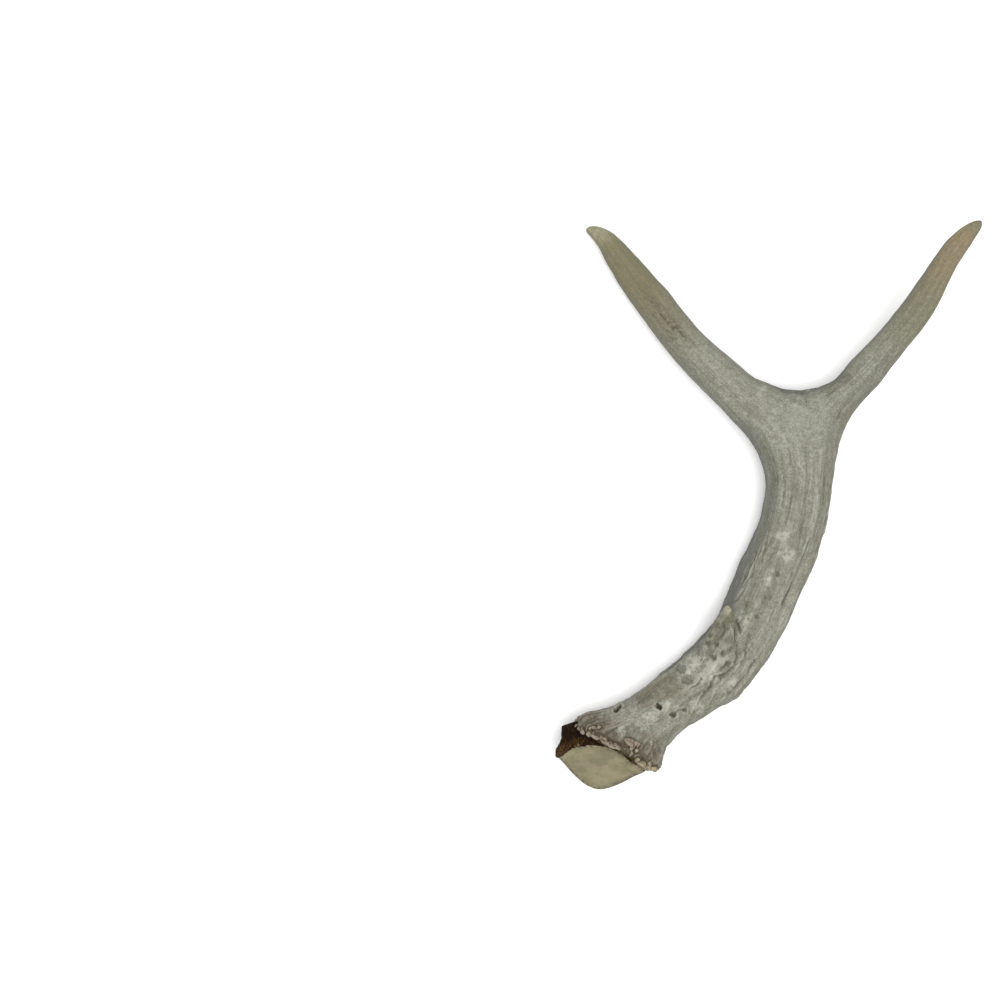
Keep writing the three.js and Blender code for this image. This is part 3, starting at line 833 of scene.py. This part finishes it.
BONE_PALE = (0.255, 0.26, 0.205)
BONE_GREY = (0.16, 0.163, 0.127)
BONE_CALM = (0.225, 0.231, 0.183)
BONE_STREAK = (0.09, 0.088, 0.065)
BONE_WHITE = (0.34, 0.338, 0.285)
BONE_BROWN = (0.128, 0.109, 0.07)
MOTE_BROWN = (0.115, 0.107, 0.078)
FLARE_BROWN = (0.068, 0.05, 0.031)
FLARE_PINK = (0.175, 0.138, 0.1)
NUB_OLIVE = (0.082, 0.075, 0.044)
NUB_CREAM = (0.31, 0.28, 0.19)
FLANK_SHADE_GREY = (0.09, 0.094, 0.087)
FLANK_SHADE_OLIVE = (0.125, 0.126, 0.086)
CROTCH_SHADE = (0.055, 0.058, 0.056)
CRACK_BROWN = (0.06, 0.04, 0.022)
TINE_OLIVE = (0.143, 0.125, 0.054)
TINE_TAN = (0.215, 0.158, 0.084)
TINE_PALE = (0.3, 0.28, 0.18)
GROOVE_DIRT_AND_SHADE = (0.065, 0.06, 0.04)
SCAR_STAIN = (0.08, 0.077, 0.055)
PIT_STAIN = (0.085, 0.078, 0.052)
PIT_SHADE = (0.02, 0.018, 0.012)
RIM_FILM_AND_SHADE = (0.032, 0.022, 0.006)

bone, shader, read = new_material("grown_bone")
grain_in, body = read("grain", "Vector"), on_body(bone)
branches = add(bone.node_tree, "ShaderNodeSeparateXYZ", Vector=read("branch", "Vector"))
up_beam, up_long, up_short = branches.outputs
wide_streaks = speckle(scaled(grain_in, (0.5, 0.5, 0.022)), 1, 4, 0.6)
fine_streaks = speckle(scaled(grain_in, (1.7, 1.7, 0.07)), 1, 4, 0.65)
hair_streaks = speckle(scaled(grain_in, (4.2, 4.2, 0.22)), 1, 3, 0.6)
clouds, motes, mote_height = mottled(body, 66, 520)
grit = speckle(body, 1500, 3, 0.7)
hollow_in, pits_in, ridge_in, nub_in, calm_in, crotch_shade_in, flank_shade_in, flare_in, bleached_in = (
    read(name)
    for name in "hollow pits ridge nub calm in_crotch flank flare bleached".split()
)

# Shares that hold back the streaks at the fork and the dirt and wear on the tines, and colours
# for the flare at the burr and for the nub.
streaky = times(between(calm_in, 0.1, 0.75, 1, 0.15), between(up_short, 0.3, 0.8, 1, 0.35))
# in_light is lower where the flanks and the fork are painted in shade, and holds back motes and wear
# there.
in_light = times(times(times(flank_shade_in, crotch_shade_in, "MAXIMUM"), -0.6), 1, "ADD")
clean = times(between(up_long, 0.3, 0.8, 1, 0.45), between(up_short, 0.3, 0.8, 1, 0.5))
exposed = times(times(clean, between(flare_in, 0.2, 0.9, 1, 0.3)), in_light)
rubbed = times(between(bleached_in, 0.3, 0.9, 0, 0.6), in_light)
tanned = times(between(up_short, 0.55, 0.85), between(up_short, 0.99, 0.9))
reddened = over(between(clouds, 0.44, 0.58), FLARE_BROWN, FLARE_PINK)
reddened = over(between(hollow_in, 0, -0.15, 0, 0.6), reddened, FLARE_PINK)
oliven = over(between(clouds, 0.46, 0.64), NUB_OLIVE, BONE_GREY)
bone_layers = [
    (between(calm_in, 0.1, 0.9), BONE_CALM),
    (times(between(fine_streaks, 0.52, 0.68, 0, 0.55), streaky), BONE_STREAK),
    (times(between(hair_streaks, 0.52, 0.7, 0, 0.5), streaky), BONE_STREAK),
    (times(between(clouds, 0.5, 0.58), between(up_beam, 0.6, 0.3, 0, 0.45)), BONE_WHITE),
    (times(between(clouds, 0.48, 0.38), between(up_beam, 0.6, 0.2, 0, 0.55)), BONE_BROWN),
    (between(bleached_in, 0.2, 0.8, 0, 0.75), BONE_WHITE),
    (between(read("browned"), 0.15, 0.8, 0, 0.7), BONE_BROWN),
    (times(read("worn_pale"), 0.6), BONE_WHITE),
    (times(read("dusty"), 0.5), BONE_STREAK),
    (between(ridge_in, 0.02, -0.3, 0, 0.4), BONE_GREY),
    (between(ridge_in, 0.1, 0.4, 0, 0.3), BONE_WHITE),
    # painted shade on the beam's right flank
    (times(read("outer_flank"), 0.6), FLANK_SHADE_OLIVE),
    (times(flare_in, 0.9), reddened),
    (between(nub_in, 0.08, 0.45, 0, 0.85), oliven),
    (between(nub_in, 0.89, 0.96, 0, 0.85), NUB_CREAM),
    (between(up_long, 0.25, 0.75, 0, 0.85), TINE_OLIVE),
    (between(up_long, 0.86, 0.97, 0, 0.85), TINE_PALE),
    (between(up_short, 0.25, 0.6, 0, 0.6), TINE_OLIVE),
    (times(tanned, 0.85), TINE_TAN),
    # painted shade on the beam's left flank and on the tines' sides
    (times(flank_shade_in, 0.9), FLANK_SHADE_GREY),
    # painted shade inside the fork
    (times(crotch_shade_in, 0.9), CROTCH_SHADE),
    (times(between(motes, 0.38, 0.6, 0.45, 0), in_light), MOTE_BROWN),
    (times(between(grit, 0.35, 0.6, 0.42, 0), clean), BONE_STREAK),
    (times(between(grit, 0.5, 0.7, 0, 0.35), exposed), BONE_WHITE),
    (times(between(hollow_in, -0.02, -0.14, 0, 0.4), exposed), BONE_WHITE),
    (times(rubbed, between(motes, 0.4, 0.6)), BONE_WHITE),
    (times(read("scars"), 0.85), SCAR_STAIN),
    (times(read("cracks"), 0.9), CRACK_BROWN),
    # painted shade in hollows, small and wide
    (between(hollow_in, 0.02, 0.18, 0, 0.55), GROOVE_DIRT_AND_SHADE),
    (between(read("wide_hollow"), 0.15, 0.6, 0, 0.4), GROOVE_DIRT_AND_SHADE),
    (times(between(pits_in, 0.08, 0.55, 0, 0.8), between(motes, 0.7, 0.4)), PIT_STAIN),
    # painted shade in the deepest pits
    (between(pits_in, 0.45, 1.1, 0, 0.9), PIT_SHADE),
    # dirt with painted shade along the grooves and creases
    (times(read("lines"), 0.6), GROOVE_DIRT_AND_SHADE),
    # film with painted shade under the burr's rim
    (times(read("burr_edge"), 0.92), RIM_FILM_AND_SHADE),
    # painted shade beside the pearls
    (times(read("under_pearls"), 0.8), RIM_FILM_AND_SHADE),
]
colour = layered(over(between(wide_streaks, 0.36, 0.64), BONE_GREY, BONE_PALE), bone_layers)
gloss = between(read("burr_edge"), 0, 1, 0.22, 0.03)
fine_height = times(times(fine_streaks, -1), mote_height, "ADD")
finish(shader, colour, 0.62, gloss, fine_height, 0.5, 0.0007)
antler.data.materials.append(bone)

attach(antler, "root")
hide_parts("main_beam", "long_tine", "short_tine")

# ------------------------------------------------------------------ burr pearls
# Small beads of bone that crowd the edge of the burr, some in two rows. They are the same
# growth as the antler, so they run into each other and sit half sunk in the rim.

# Along the burr from its middle, out towards the skull, and each bead's half width both ways,
# where it shows from above. The rest of the rim is beaded by chance.
TOP_PEARLS = [
    (-19.6, -2.4, 0.9, 1.6), (-19.1, 0.3, 1, 1), (-17.9, 0.3, 0.85, 0.75),
    (-16.8, -0.5, 0.8, 0.65), (-16.1, 0.7, 1, 0.9), (-13.8, 0.1, 1.05, 1),
    (-14.2, -1.9, 0.8, 1.1), (-13.2, -3.2, 1.3, 0.9), (-11.7, -4.1, 1.1, 0.8),
    (-12.1, -1.5, 0.8, 0.9), (-10.3, -0.5, 1.1, 1.1), (-9.6, -1.9, 0.8, 0.8),
    (-8.7, -0.9, 0.8, 0.9), (-7.1, -0.9, 1.2, 1.1), (-5.6, 0, 0.8, 0.7), (-4.5, -0.6, 1, 0.8),
    (-3.1, -0.1, 0.9, 0.7), (-2.1, -0.9, 1, 0.8), (-0.8, -0.6, 0.9, 0.7), (0.4, -1.2, 1, 0.8),
    (1.9, -1.7, 1, 0.8), (1.3, -2.8, 0.8, 0.7), (2.1, -5, 1.5, 1.3), (3.5, -5.4, 1.2, 1.2),
    (5.2, -5.4, 1.3, 1.4), (2.3, -3.7, 0.8, 1.1), (4.5, -2.8, 0.9, 1.2), (5.2, -0.9, 0.8, 1.2),
    (5, -3.9, 0.7, 0.8), (6.5, -5.2, 0.75, 1.3), (7.1, -3.2, 0.9, 1.1), (9.1, 0.2, 1.2, 1.1),
    (10.6, 0.7, 1.3, 1.2), (12.1, 0.9, 1.2, 1.2), (13.4, 1.4, 1.2, 1.2), (14.2, -0.3, 1.1, 1.2),
    (15, 1.4, 1.3, 1.2), (16.3, 0.9, 1.2, 1.2), (17.9, 0.6, 1.4, 1.1), (19.2, 0.3, 0.9, 0.9),
    (-11, -0.3, 1.9, 0.9), (-6.2, -0.4, 2, 0.9), (-3.4, -0.3, 1.9, 0.8), (-0.9, -0.8, 1.8, 0.8),
    (3, -4.6, 2.2, 1.3), (11, 0.6, 2.1, 1), (14.6, 1, 2.2, 1.1), (17.4, 0.6, 1.9, 1),
]
HIDDEN_PEARLS = 46
RIM_HALF = np.array([19.6, 17.2])
SUNK = 0.3  # how deep in the rim a bead's middle lies
SWOLLEN = 1.1  # how much wider a bead is than it shows between its neighbours
rim_centre = np.array([-0.2, -0.25, BURR_HEIGHT])
up_way = np.array([0.0, 0, 1])

pearl_places, pearl_ways, pearl_lies, pearl_girths = [], [], [], []


def set_pearl(turn, out, half_along, half_out):
    """A pearl on the rim, at an angle round it from its right-hand end over the top."""
    along, up = squared(np.array([math.cos(turn), math.sin(turn)]))
    way = along * along_rim + up * up_way
    at = rim_centre + RIM_HALF[0] * along * along_rim + RIM_HALF[1] * up * up_way
    slope = 0.2 * max(0.0, -out)
    pearl_places.append(at + to_skull * out - way * (SUNK + slope))
    pearl_lies.append(np.cross(way, to_skull))
    way = way + 0.45 * to_skull
    pearl_ways.append(way / np.linalg.norm(way))
    height = 0.5 * (half_along + half_out) + 0.15
    pearl_girths.append((SWOLLEN * half_along, SWOLLEN * half_out, height))


for along, out, half_along, half_out in TOP_PEARLS:
    share = min(0.999, abs(along / RIM_HALF[0]))
    turn = math.acos(share ** (SQUARENESS / 2))
    set_pearl(turn if along > 0 else math.pi - turn, out, half_along, half_out)
for count in range(HIDDEN_PEARLS):
    turn = -math.pi * (count + chance.uniform(0.3, 0.7)) / HIDDEN_PEARLS
    girth = chance.uniform(0.8, 1.4)
    set_pearl(turn, chance.uniform(-1.6, 0.6), girth, girth * chance.uniform(0.8, 1.3))

seeds = piece_from("burr_pearls", np.array(pearl_places), [])
carry(seeds, girth=np.array(pearl_girths) * MM, way=pearl_ways, lie=pearl_lies)


def geometry_tree(name, sockets):
    """A Geometry Nodes tree with named inputs, and its two end nodes."""
    tree = bpy.data.node_groups.new(name, "GeometryNodeTree")
    tree.interface.new_socket("Geometry", in_out="INPUT", socket_type="NodeSocketGeometry")
    for label, kind in sockets:
        tree.interface.new_socket(label, in_out="INPUT", socket_type=kind)
    tree.interface.new_socket("Geometry", in_out="OUTPUT", socket_type="NodeSocketGeometry")
    return tree, tree.nodes.new("NodeGroupInput"), tree.nodes.new("NodeGroupOutput")


def grown(piece, tree, values, finish=()):
    """The piece's mesh as the tree and the finish make it, with no modifier left on it."""
    modifier = piece.modifiers.new(tree.name, "NODES")
    modifier.node_group = tree
    for item in tree.interface.items_tree:
        if item.in_out == "INPUT" and item.name in values:
            modifier[item.identifier] = values[item.name]
    for kind, settings in finish:
        modifier = piece.modifiers.new(kind, kind)
        for name, value in settings.items():
            setattr(modifier, name, value)
    bpy.context.view_layer.update()
    seen = piece.evaluated_get(bpy.context.evaluated_depsgraph_get())
    mesh = bpy.data.meshes.new_from_object(seen)
    piece.modifiers.clear()
    piece.data = mesh
    return piece


pearly, ins, outs = geometry_tree(
    "pearls_on_rim",
    [("Unevenness", "NodeSocketFloat"), ("Lumpiness", "NodeSocketFloat")]
    + [("Seed", "NodeSocketInt"), ("Bone", "NodeSocketMaterial")],
)
given = ins.outputs
girth_in, way_in, lie_in = (
    add(pearly, "GeometryNodeInputNamedAttribute", data_type="FLOAT_VECTOR", Name=name).outputs[0]
    for name in ("girth", "way", "lie")
)
facing = add(pearly, "FunctionNodeAxesToRotation", primary_axis="Z", secondary_axis="X")
fill(facing.inputs[0], way_in)
fill(facing.inputs[1], lie_in)
chosen = add(pearly, "FunctionNodeRandomValue", data_type="FLOAT_VECTOR", Seed=given["Seed"])
fill(chosen.inputs[0], (-0.5, -0.5, -0.5))
fill(chosen.inputs[1], (0.5, 0.5, 0.5))
uneven = add(pearly, "ShaderNodeVectorMath", operation="SCALE", Vector=chosen.outputs[0])
fill(uneven.inputs["Scale"], given["Unevenness"])
girth = add(pearly, "ShaderNodeVectorMath", operation="MULTIPLY_ADD")
for number, value in enumerate((girth_in, uneven.outputs[0], girth_in)):
    fill(girth.inputs[number], value)
bead = add(pearly, "GeometryNodeMeshIcoSphere", Radius=1.0, Subdivisions=3).outputs["Mesh"]
beads = add(pearly, "GeometryNodeInstanceOnPoints", Points=given["Geometry"], Instance=bead)
fill(beads.inputs["Rotation"], facing.outputs[0])
fill(beads.inputs["Scale"], girth.outputs[0])
real = add(pearly, "GeometryNodeRealizeInstances", Geometry=beads.outputs[0])
lumpy = add(pearly, "ShaderNodeTexNoise", Scale=430.0, Detail=2.0)
swell = times(times(lumpy.outputs["Fac"], 0.5, "SUBTRACT"), given["Lumpiness"])
outward = add(pearly, "GeometryNodeInputNormal").outputs[0]
moved = add(pearly, "ShaderNodeVectorMath", operation="SCALE", Vector=outward, Scale=swell)
pushed = add(pearly, "GeometryNodeSetPosition", Geometry=real.outputs[0], Offset=moved.outputs[0])
finished = add(pearly, "GeometryNodeSetMaterial", Geometry=pushed.outputs[0])
fill(finished.inputs["Material"], given["Bone"])
fill(outs.inputs["Geometry"], finished.outputs[0])

PEARL_PALE = (0.26, 0.212, 0.165)
PEARL_CREAM = (0.32, 0.275, 0.175)
PEARL_BROWN = (0.12, 0.088, 0.06)
CREVICE_SHADE = (0.035, 0.022, 0.01)
pearl_bone, shader, read = new_material("pearl_bone")
clouds, motes, mote_height = mottled(on_body(pearl_bone), 300, 900)
pearl_layers = [
    (between(clouds, 0.6, 0.4, 0, 0.7), PEARL_BROWN),
    (between(motes, 0.35, 0.6, 0.5, 0), BONE_BROWN),
    # painted shade in the crevices
    (read("crevice"), CREVICE_SHADE),
]
colour = layered(over(read("yellowed"), PEARL_PALE, PEARL_CREAM), pearl_layers)
finish(shader, colour, between(motes, 0.3, 0.7, 0.45, 0.65), 0.3, mote_height, 0.4, 0.0004)

FUSED_AT = 0.2  # the finest detail, in millimetres, after the beads have run together
pearls = grown(
    seeds,
    pearly,
    {"Unevenness": 0.25, "Lumpiness": 0.0014, "Seed": 4, "Bone": pearl_bone},
    [
        ("REMESH", {"mode": "VOXEL", "voxel_size": FUSED_AT * MM, "use_smooth_shade": True}),
        ("SMOOTH", {"factor": 0.5, "iterations": 3}),
    ],
)
pearls.data.materials.clear()
pearls.data.materials.append(pearl_bone)

# Painted shade darkens the crevices between the pearls, between them and the burr, and their sides
# that face the skull.
beads_at = np.empty(len(pearls.data.vertices) * 3, np.float32)
pearls.data.vertices.foreach_get("co", beads_at)
beads_at = beads_at.reshape(-1, 3) / MM - BURR_PLACE
bead_corners = four_corners([list(face.vertices) for face in pearls.data.polygons])
bead_normals = skin_normals(beads_at, bead_corners)
bead_hollow = hollowness(beads_at, bead_corners, bead_normals, 8)
skin_tree = BVHTree.FromPolygons(place.tolist(), faces)
over_skin = np.empty(len(beads_at))
for n, at in enumerate(beads_at):
    near, facing_out, _, off = skin_tree.find_nearest(Vector(at))
    over_skin[n] = off if (Vector(at) - near).dot(facing_out) > 0 else -off
crevice = np.maximum(step(bead_hollow, -0.05, 0.05), 1 - step(over_skin, 0.05, 0.5))
crevice = np.maximum(crevice, 0.85 * step(bead_normals @ to_skull, 0.55, 0.95))
inside_box = ((kept_in(beads_at) + BURR_PLACE) * MM).ravel().astype(np.float32)
pearls.data.vertices.foreach_set("co", inside_box)
carry(pearls, crevice=0.95 * crevice, yellowed=step(beads_at @ along_rim, 5, 11))
# Painted shade: the antler's skin right beside the pearls is darkened.
near_beads = np.full(len(place), 99.0)
for at, girth in zip(pearl_places, pearl_girths):
    near_beads = np.minimum(near_beads, distance(place, at) - max(girth))
carry(antler, under_pearls=1 - step(near_beads, 0.0, 0.8))
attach(pearls, "root")

# ------------------------------------------------------------------ pedicle
# The stump of skull bone under the burr, with a strip of hide dried on it. It was sawn off
# at a slant, and its flat sawn face is bare bone.

# Its outline looking from the skull, along the burr and up from the burr's middle.
PEDICLE_OUTLINE = [
    (15.4, 0.8), (8.6, 3.7), (2.6, 7.9), (-5, 10.2), (-12, 9.2), (-18.5, 5.4), (-21.8, 1.8),
    (-15.5, -4.9), (-7.8, -11.8), (-1.5, -16), (3.8, -16.8), (8.8, -12), (12.8, -4.5),
]
PEDICLE_MIDDLE = np.array([-3.0, -3.0])
PEDICLE_ROWS = [(0, 0, 1), (-1.5, 0.4, 0.97), (-1.3, 0.8, 0.91)]  # along, up, girth
PEDICLE_TOP = 0.8
CUT_REACH, CUT_SLANT = 9, (-0.3, -0.8)
PER_CORNER = 20
PEDICLE_STEPS = 44

corner = np.array(PEDICLE_OUTLINE, float)
wrapped = np.concatenate([corner[-2:], corner, corner[:3]])
wrapped = np.column_stack([wrapped, np.zeros(len(wrapped))])[:, None]
shares = np.arange(len(corner) * PER_CORNER) / PER_CORNER
outline = along_lines(wrapped, 2 + shares)[:, 0, :2]
around = len(outline)

knots = []
for n, (along, up, girth) in enumerate(PEDICLE_ROWS):
    leftward = step(-outline[:, :1], -12, 4)
    ring = (outline - PEDICLE_MIDDLE) * (1 + (girth - 1) * (0.2 + 0.8 * leftward))
    ring += PEDICLE_MIDDLE + np.concatenate([along * leftward, up * leftward], axis=1)
    cut_depth = CUT_REACH + ring @ np.array(CUT_SLANT)
    depth = PEDICLE_TOP + (cut_depth - PEDICLE_TOP) * (1 - n / 2)
    knots.append(np.column_stack([ring, depth]))
stump_rings = along_lines(np.array(knots), np.linspace(0, 2, PEDICLE_STEPS))


def from_burr(points):
    """Places in plan and height, from places along the burr, up, and out to the skull."""
    along, up, out = points[..., :1], points[..., 1:2], points[..., 2:]
    return np.array([0, 0, BURR_HEIGHT]) + along * along_rim + up * up_way + out * to_skull


# The stump runs from the sawn face to inside the burr, where it closes.
FACE_RINGS = (0, 0.35, 0.6, 0.74, 0.77, 0.8, 0.82, 0.84, 0.86, 0.88, 0.9, 0.92, 0.94, 0.96, 0.98)
stump_faces = []
face_middle = np.append(PEDICLE_MIDDLE, CUT_REACH + PEDICLE_MIDDLE @ np.array(CUT_SLANT))
rows = [face_middle + (stump_rings[0] - face_middle) * share for share in FACE_RINGS[1:]]
rows.append(face_middle + (stump_rings[0] - face_middle) * 0.996)
rows += list(stump_rings)
for inset, deeper in ((0.97, -0.8), (0.9, -1.8), (0.6, -2.4)):
    middle = stump_rings[-1].mean(axis=0)
    rows.append(middle + (stump_rings[-1] - middle) * inset + (0, 0, deeper))
stump = np.concatenate(rows + [face_middle[None], (middle + (0, 0, -2.5))[None]])
for row in range(len(rows) - 1):
    here = row * around + np.arange(around)
    following = row * around + (np.arange(around) + 1) % around
    stump_faces += np.column_stack([here, following, following + around, here + around]).tolist()
first = np.arange(around)
following = (first + 1) % around
face_pole, top_pole = len(stump) - 2, len(stump) - 1
stump_faces += [(face_pole, int(b), int(a)) for a, b in zip(first, following)]
last = (len(rows) - 1) * around
stump_faces += [(top_pole, int(last + a), int(last + b)) for a, b in zip(first, following)]

# The hide is thick at the burr's left end, and thins to a film along the upper edge.
ring_number = np.concatenate([np.repeat(np.arange(len(rows)), around), [0, len(rows)]])
on_side = (ring_number >= len(FACE_RINGS)).astype(float)
patchy = noise_at(stump, 0.25, 21, 3)
hide = step(-stump[:, 0] + 4 * patchy, 4.5, 8.5) * step(stump[:, 1] + 3 * patchy, -9, -4)
hide *= on_side
film = step(stump[:, 1] + 2 * patchy, -5, -1)
wrinkles = noise_at(stump, (0.95, 0.95, 0.3), 22, 3)
crumple = noise_at(stump, 0.4, 23, 3)
stump_corners = four_corners(stump_faces)
stump_normals = skin_normals(stump, stump_corners)
from_ends = step(ring_number, len(FACE_RINGS), len(FACE_RINGS) + 5)
rough = hide * (0.9 * np.abs(wrinkles) + 0.5 * crumple - 0.3) * from_ends
SHOULDER_AT = [0.5, 1.0, 2.2, 3.5, 5.5, 7.7, 10, 12.9, 14]
SHOULDER_OUT = [0.0, 0.3, 1.4, 2.0, 0.7, -0.8, -1.1, 0.1, 0]
shoulder = np.interp(stump[:, 2], SHOULDER_AT, SHOULDER_OUT) * step(-stump[:, 0], 10, 19)
stump = stump - np.outer(shoulder * step(stump[:, 1], -7, -1) * on_side, (1, 0, 0))
rough += (1 - hide) * 0.18 * crumple * from_ends * on_side
stump = stump + stump_normals * rough[:, None]

# At the left corner the hide curls over the sawn edge in a roll.
ROLL_UP = [-4.5, -1.0, 0.4, 3.3, 6.2, 7.9, 8.9]
ROLL_ALONG = [-24, -18.8, -18.3, -17.3, -16.5, -14.7, -12.5]
ROLL_WIDTH, ROLL_HEIGHT, ROLL_DEPTH = 2.2, 1.1, 3.2
cut_way = np.array([-CUT_SLANT[0], -CUT_SLANT[1], 1])
cut_way /= np.linalg.norm(cut_way)
under_cut = CUT_REACH + stump[:, :2] @ np.array(CUT_SLANT) - stump[:, 2]
past_edge = np.interp(stump[:, 1], ROLL_UP, ROLL_ALONG) - stump[:, 0] + 0.5 * crumple
roll = np.clip(past_edge / ROLL_WIDTH, 0, 1) * (stump[:, 1] < 9.5)
roll_lift = ROLL_HEIGHT * np.sqrt(1 - (1 - roll) ** 2) * (1 + 0.3 * wrinkles)
roll_lift *= 1 - step(under_cut, 0.2, ROLL_DEPTH)
stump = stump + np.outer(roll_lift, cut_way)
hide = np.maximum(hide, step(roll, 0.02, 0.12) * (1 - on_side))

stump_hollow = hollowness(stump, stump_corners, stump_normals, 5) * np.maximum(on_side, hide)
at_cut_edge = step(ring_number, len(FACE_RINGS) - 11, len(FACE_RINGS) - 2)
edge_specks = step(noise_at(stump, 0.75, 47, 3), -0.15, 0.12)
FLECKS_AT, FLECKS_HALF = (-15.4, 7.8), 1.2
fleck_off = distance(stump[:, :2] + 0.6 * np.column_stack([crumple, wrinkles]), FLECKS_AT)

stump_faces = [tuple(map(int, face)) for face in stump_faces]
pedicle = piece_from("pedicle", kept_in(from_burr(stump)), stump_faces)
carry(pedicle, hide=hide, film=film, hollow=stump_hollow, stump=stump)
carry(pedicle, roll=step(roll, 0.1, 0.7) * (1 - step(under_cut, 1.5, 4)))
carry(pedicle, cut_edge=at_cut_edge * (0.12 + 0.88 * edge_specks))
carry(pedicle, flecks=bell(fleck_off, FLECKS_HALF) * (1 - step(under_cut, 0.8, 2)))

HIDE_DARK = (0.0065, 0.0025, 0.001)
HIDE_RED = (0.026, 0.012, 0.004)
HIDE_TAN = (0.085, 0.044, 0.014)
HIDE_GOLD = (0.3, 0.21, 0.09)
FILM_OLIVE = (0.07, 0.048, 0.014)
FILM_DARK = (0.025, 0.016, 0.004)
STUMP_BONE = (0.3, 0.25, 0.15)
dried_hide, shader, read = new_material("dried_hide")
clouds, motes, mote_height = mottled(on_body(dried_hide), 260, 1200)
strands = speckle(scaled(read("stump", "Vector"), (1.9, 1.9, 0.3)), 1, 4)
hide_layers = [
    (between(strands, 0.56, 0.68, 0, 0.4), HIDE_TAN),
    (times(read("roll"), 0.85), over(between(strands, 0.36, 0.58), HIDE_RED, HIDE_TAN)),
    (times(between(motes, 0.5, 0.56), read("flecks")), HIDE_GOLD),
]
hairy = layered(over(between(clouds, 0.42, 0.62, 0, 0.7), HIDE_DARK, HIDE_RED), hide_layers)
stump_layers = [
    (times(read("film"), 0.95), over(between(clouds, 0.42, 0.58), FILM_DARK, FILM_OLIVE)),
    (read("hide"), hairy),
    # painted shade in the hide's hollows and creases
    (between(read("hollow"), 0.01, 0.1, 0, 0.8), HIDE_DARK),
]
colour = layered(over(between(clouds, 0.4, 0.6), FILM_OLIVE, STUMP_BONE), stump_layers)
hide_roughness = between(strands, 0.35, 0.65, 0.42, 0.62)
finish(shader, colour, hide_roughness, 0.05, times(strands, mote_height, "ADD"), 0.8, 0.0007)

SAWN_PALE = (0.212, 0.188, 0.105)
SAWN_TAN = (0.145, 0.128, 0.066)
SAWN_SPECK = (0.055, 0.038, 0.02)
SAWN_RUST = (0.15, 0.1, 0.065)
SAW_TURN = math.radians(28)
sawn_bone, shader, read = new_material("sawn_bone")
body = on_body(sawn_bone)
clouds, motes, mote_height = mottled(body, 130, 1500)
turned = add(sawn_bone.node_tree, "ShaderNodeMapping", Rotation=(0, 0, SAW_TURN))
fill(turned.inputs["Vector"], read("stump", "Vector"))
saw = speckle(scaled(turned.outputs[0], (0.06, 3.2, 0)), 1, 3)
sawn_layers = [
    (between(saw, 0.55, 0.75, 0, 0.35), SAWN_TAN),
    (between(motes, 0.3, 0.42, 0.6, 0), SAWN_SPECK),
    (between(speckle(body, 420, 4, 0.7), 0.6, 0.72, 0, 0.35), SAWN_RUST),
    (times(read("cut_edge"), 0.85), SAWN_SPECK),
]
colour = layered(over(between(clouds, 0.35, 0.65), SAWN_TAN, SAWN_PALE), sawn_layers)
finish(shader, colour, 0.75, 0.5, times(saw, mote_height, "ADD"), 0.35, 0.0004)

pedicle.data.materials.append(dried_hide)
pedicle.data.materials.append(sawn_bone)
for face in pedicle.data.polygons:
    face_corners = list(face.vertices)
    if ring_number[face_corners].max() < len(FACE_RINGS) and roll[face_corners].min() < 0.02:
        face.material_index = 1
        face.use_smooth = False

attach(pedicle, "root")

# ------------------------------------------------------------------ floor, light, camera
# A plain pale floor that the antler lies on, a wide soft light above it, and the camera
# looking straight down.

FLOOR_HALF = 3.0
floor_mesh = bpy.data.meshes.new("floor")
floor_corners = [(-FLOOR_HALF, -FLOOR_HALF, 0), (FLOOR_HALF, -FLOOR_HALF, 0)]
floor_corners += [(FLOOR_HALF, FLOOR_HALF, 0), (-FLOOR_HALF, FLOOR_HALF, 0)]
floor_mesh.from_pydata(floor_corners, [], [(0, 1, 2, 3)])
floor = object_of("floor", floor_mesh)
pale, shader, read = new_material("pale_floor")
fill(shader.inputs["Base Color"], (0.93, 0.93, 0.93))
fill(shader.inputs["Roughness"], 0.9)
fill(shader.inputs["Specular IOR Level"], 0.1)
floor.data.materials.append(pale)

LAMP_PLACE = Vector((0.05, -0.1, 1.65))
lamp = bpy.data.lights.new("sky_panel", "AREA")
lamp.shape = "DISK"
lamp.size = 1.1
lamp.energy = 29
light = object_of("sky_panel", lamp)
light.location = LAMP_PLACE
light.rotation_euler = (-LAMP_PLACE).to_track_quat("-Z", "Y").to_euler()
light.visible_camera = False
world = bpy.data.worlds.new("studio")
world.use_nodes = True
backdrop = world.node_tree.nodes["Background"]
fill(backdrop.inputs["Color"], (1, 1, 1))
fill(backdrop.inputs["Strength"], 0.7)
bpy.context.scene.world = world
bpy.context.scene.view_settings.view_transform = "Standard"

PICTURE_MIDDLE = (-0.1088, 0.0038)  # the point of the floor under the picture's middle
CAMERA_HEIGHT = 1.0
SEEN_HEIGHT = 0.015  # how far above the floor the picture's width is measured
SEEN_WIDTH = 0.42
SENSOR = 36
camera_data = bpy.data.cameras.new("camera")
camera_data.sensor_width = SENSOR
camera_data.lens = SENSOR * (CAMERA_HEIGHT - SEEN_HEIGHT) / SEEN_WIDTH
camera = object_of("camera", camera_data)
camera.location = (*PICTURE_MIDDLE, CAMERA_HEIGHT)
bpy.context.scene.camera = camera
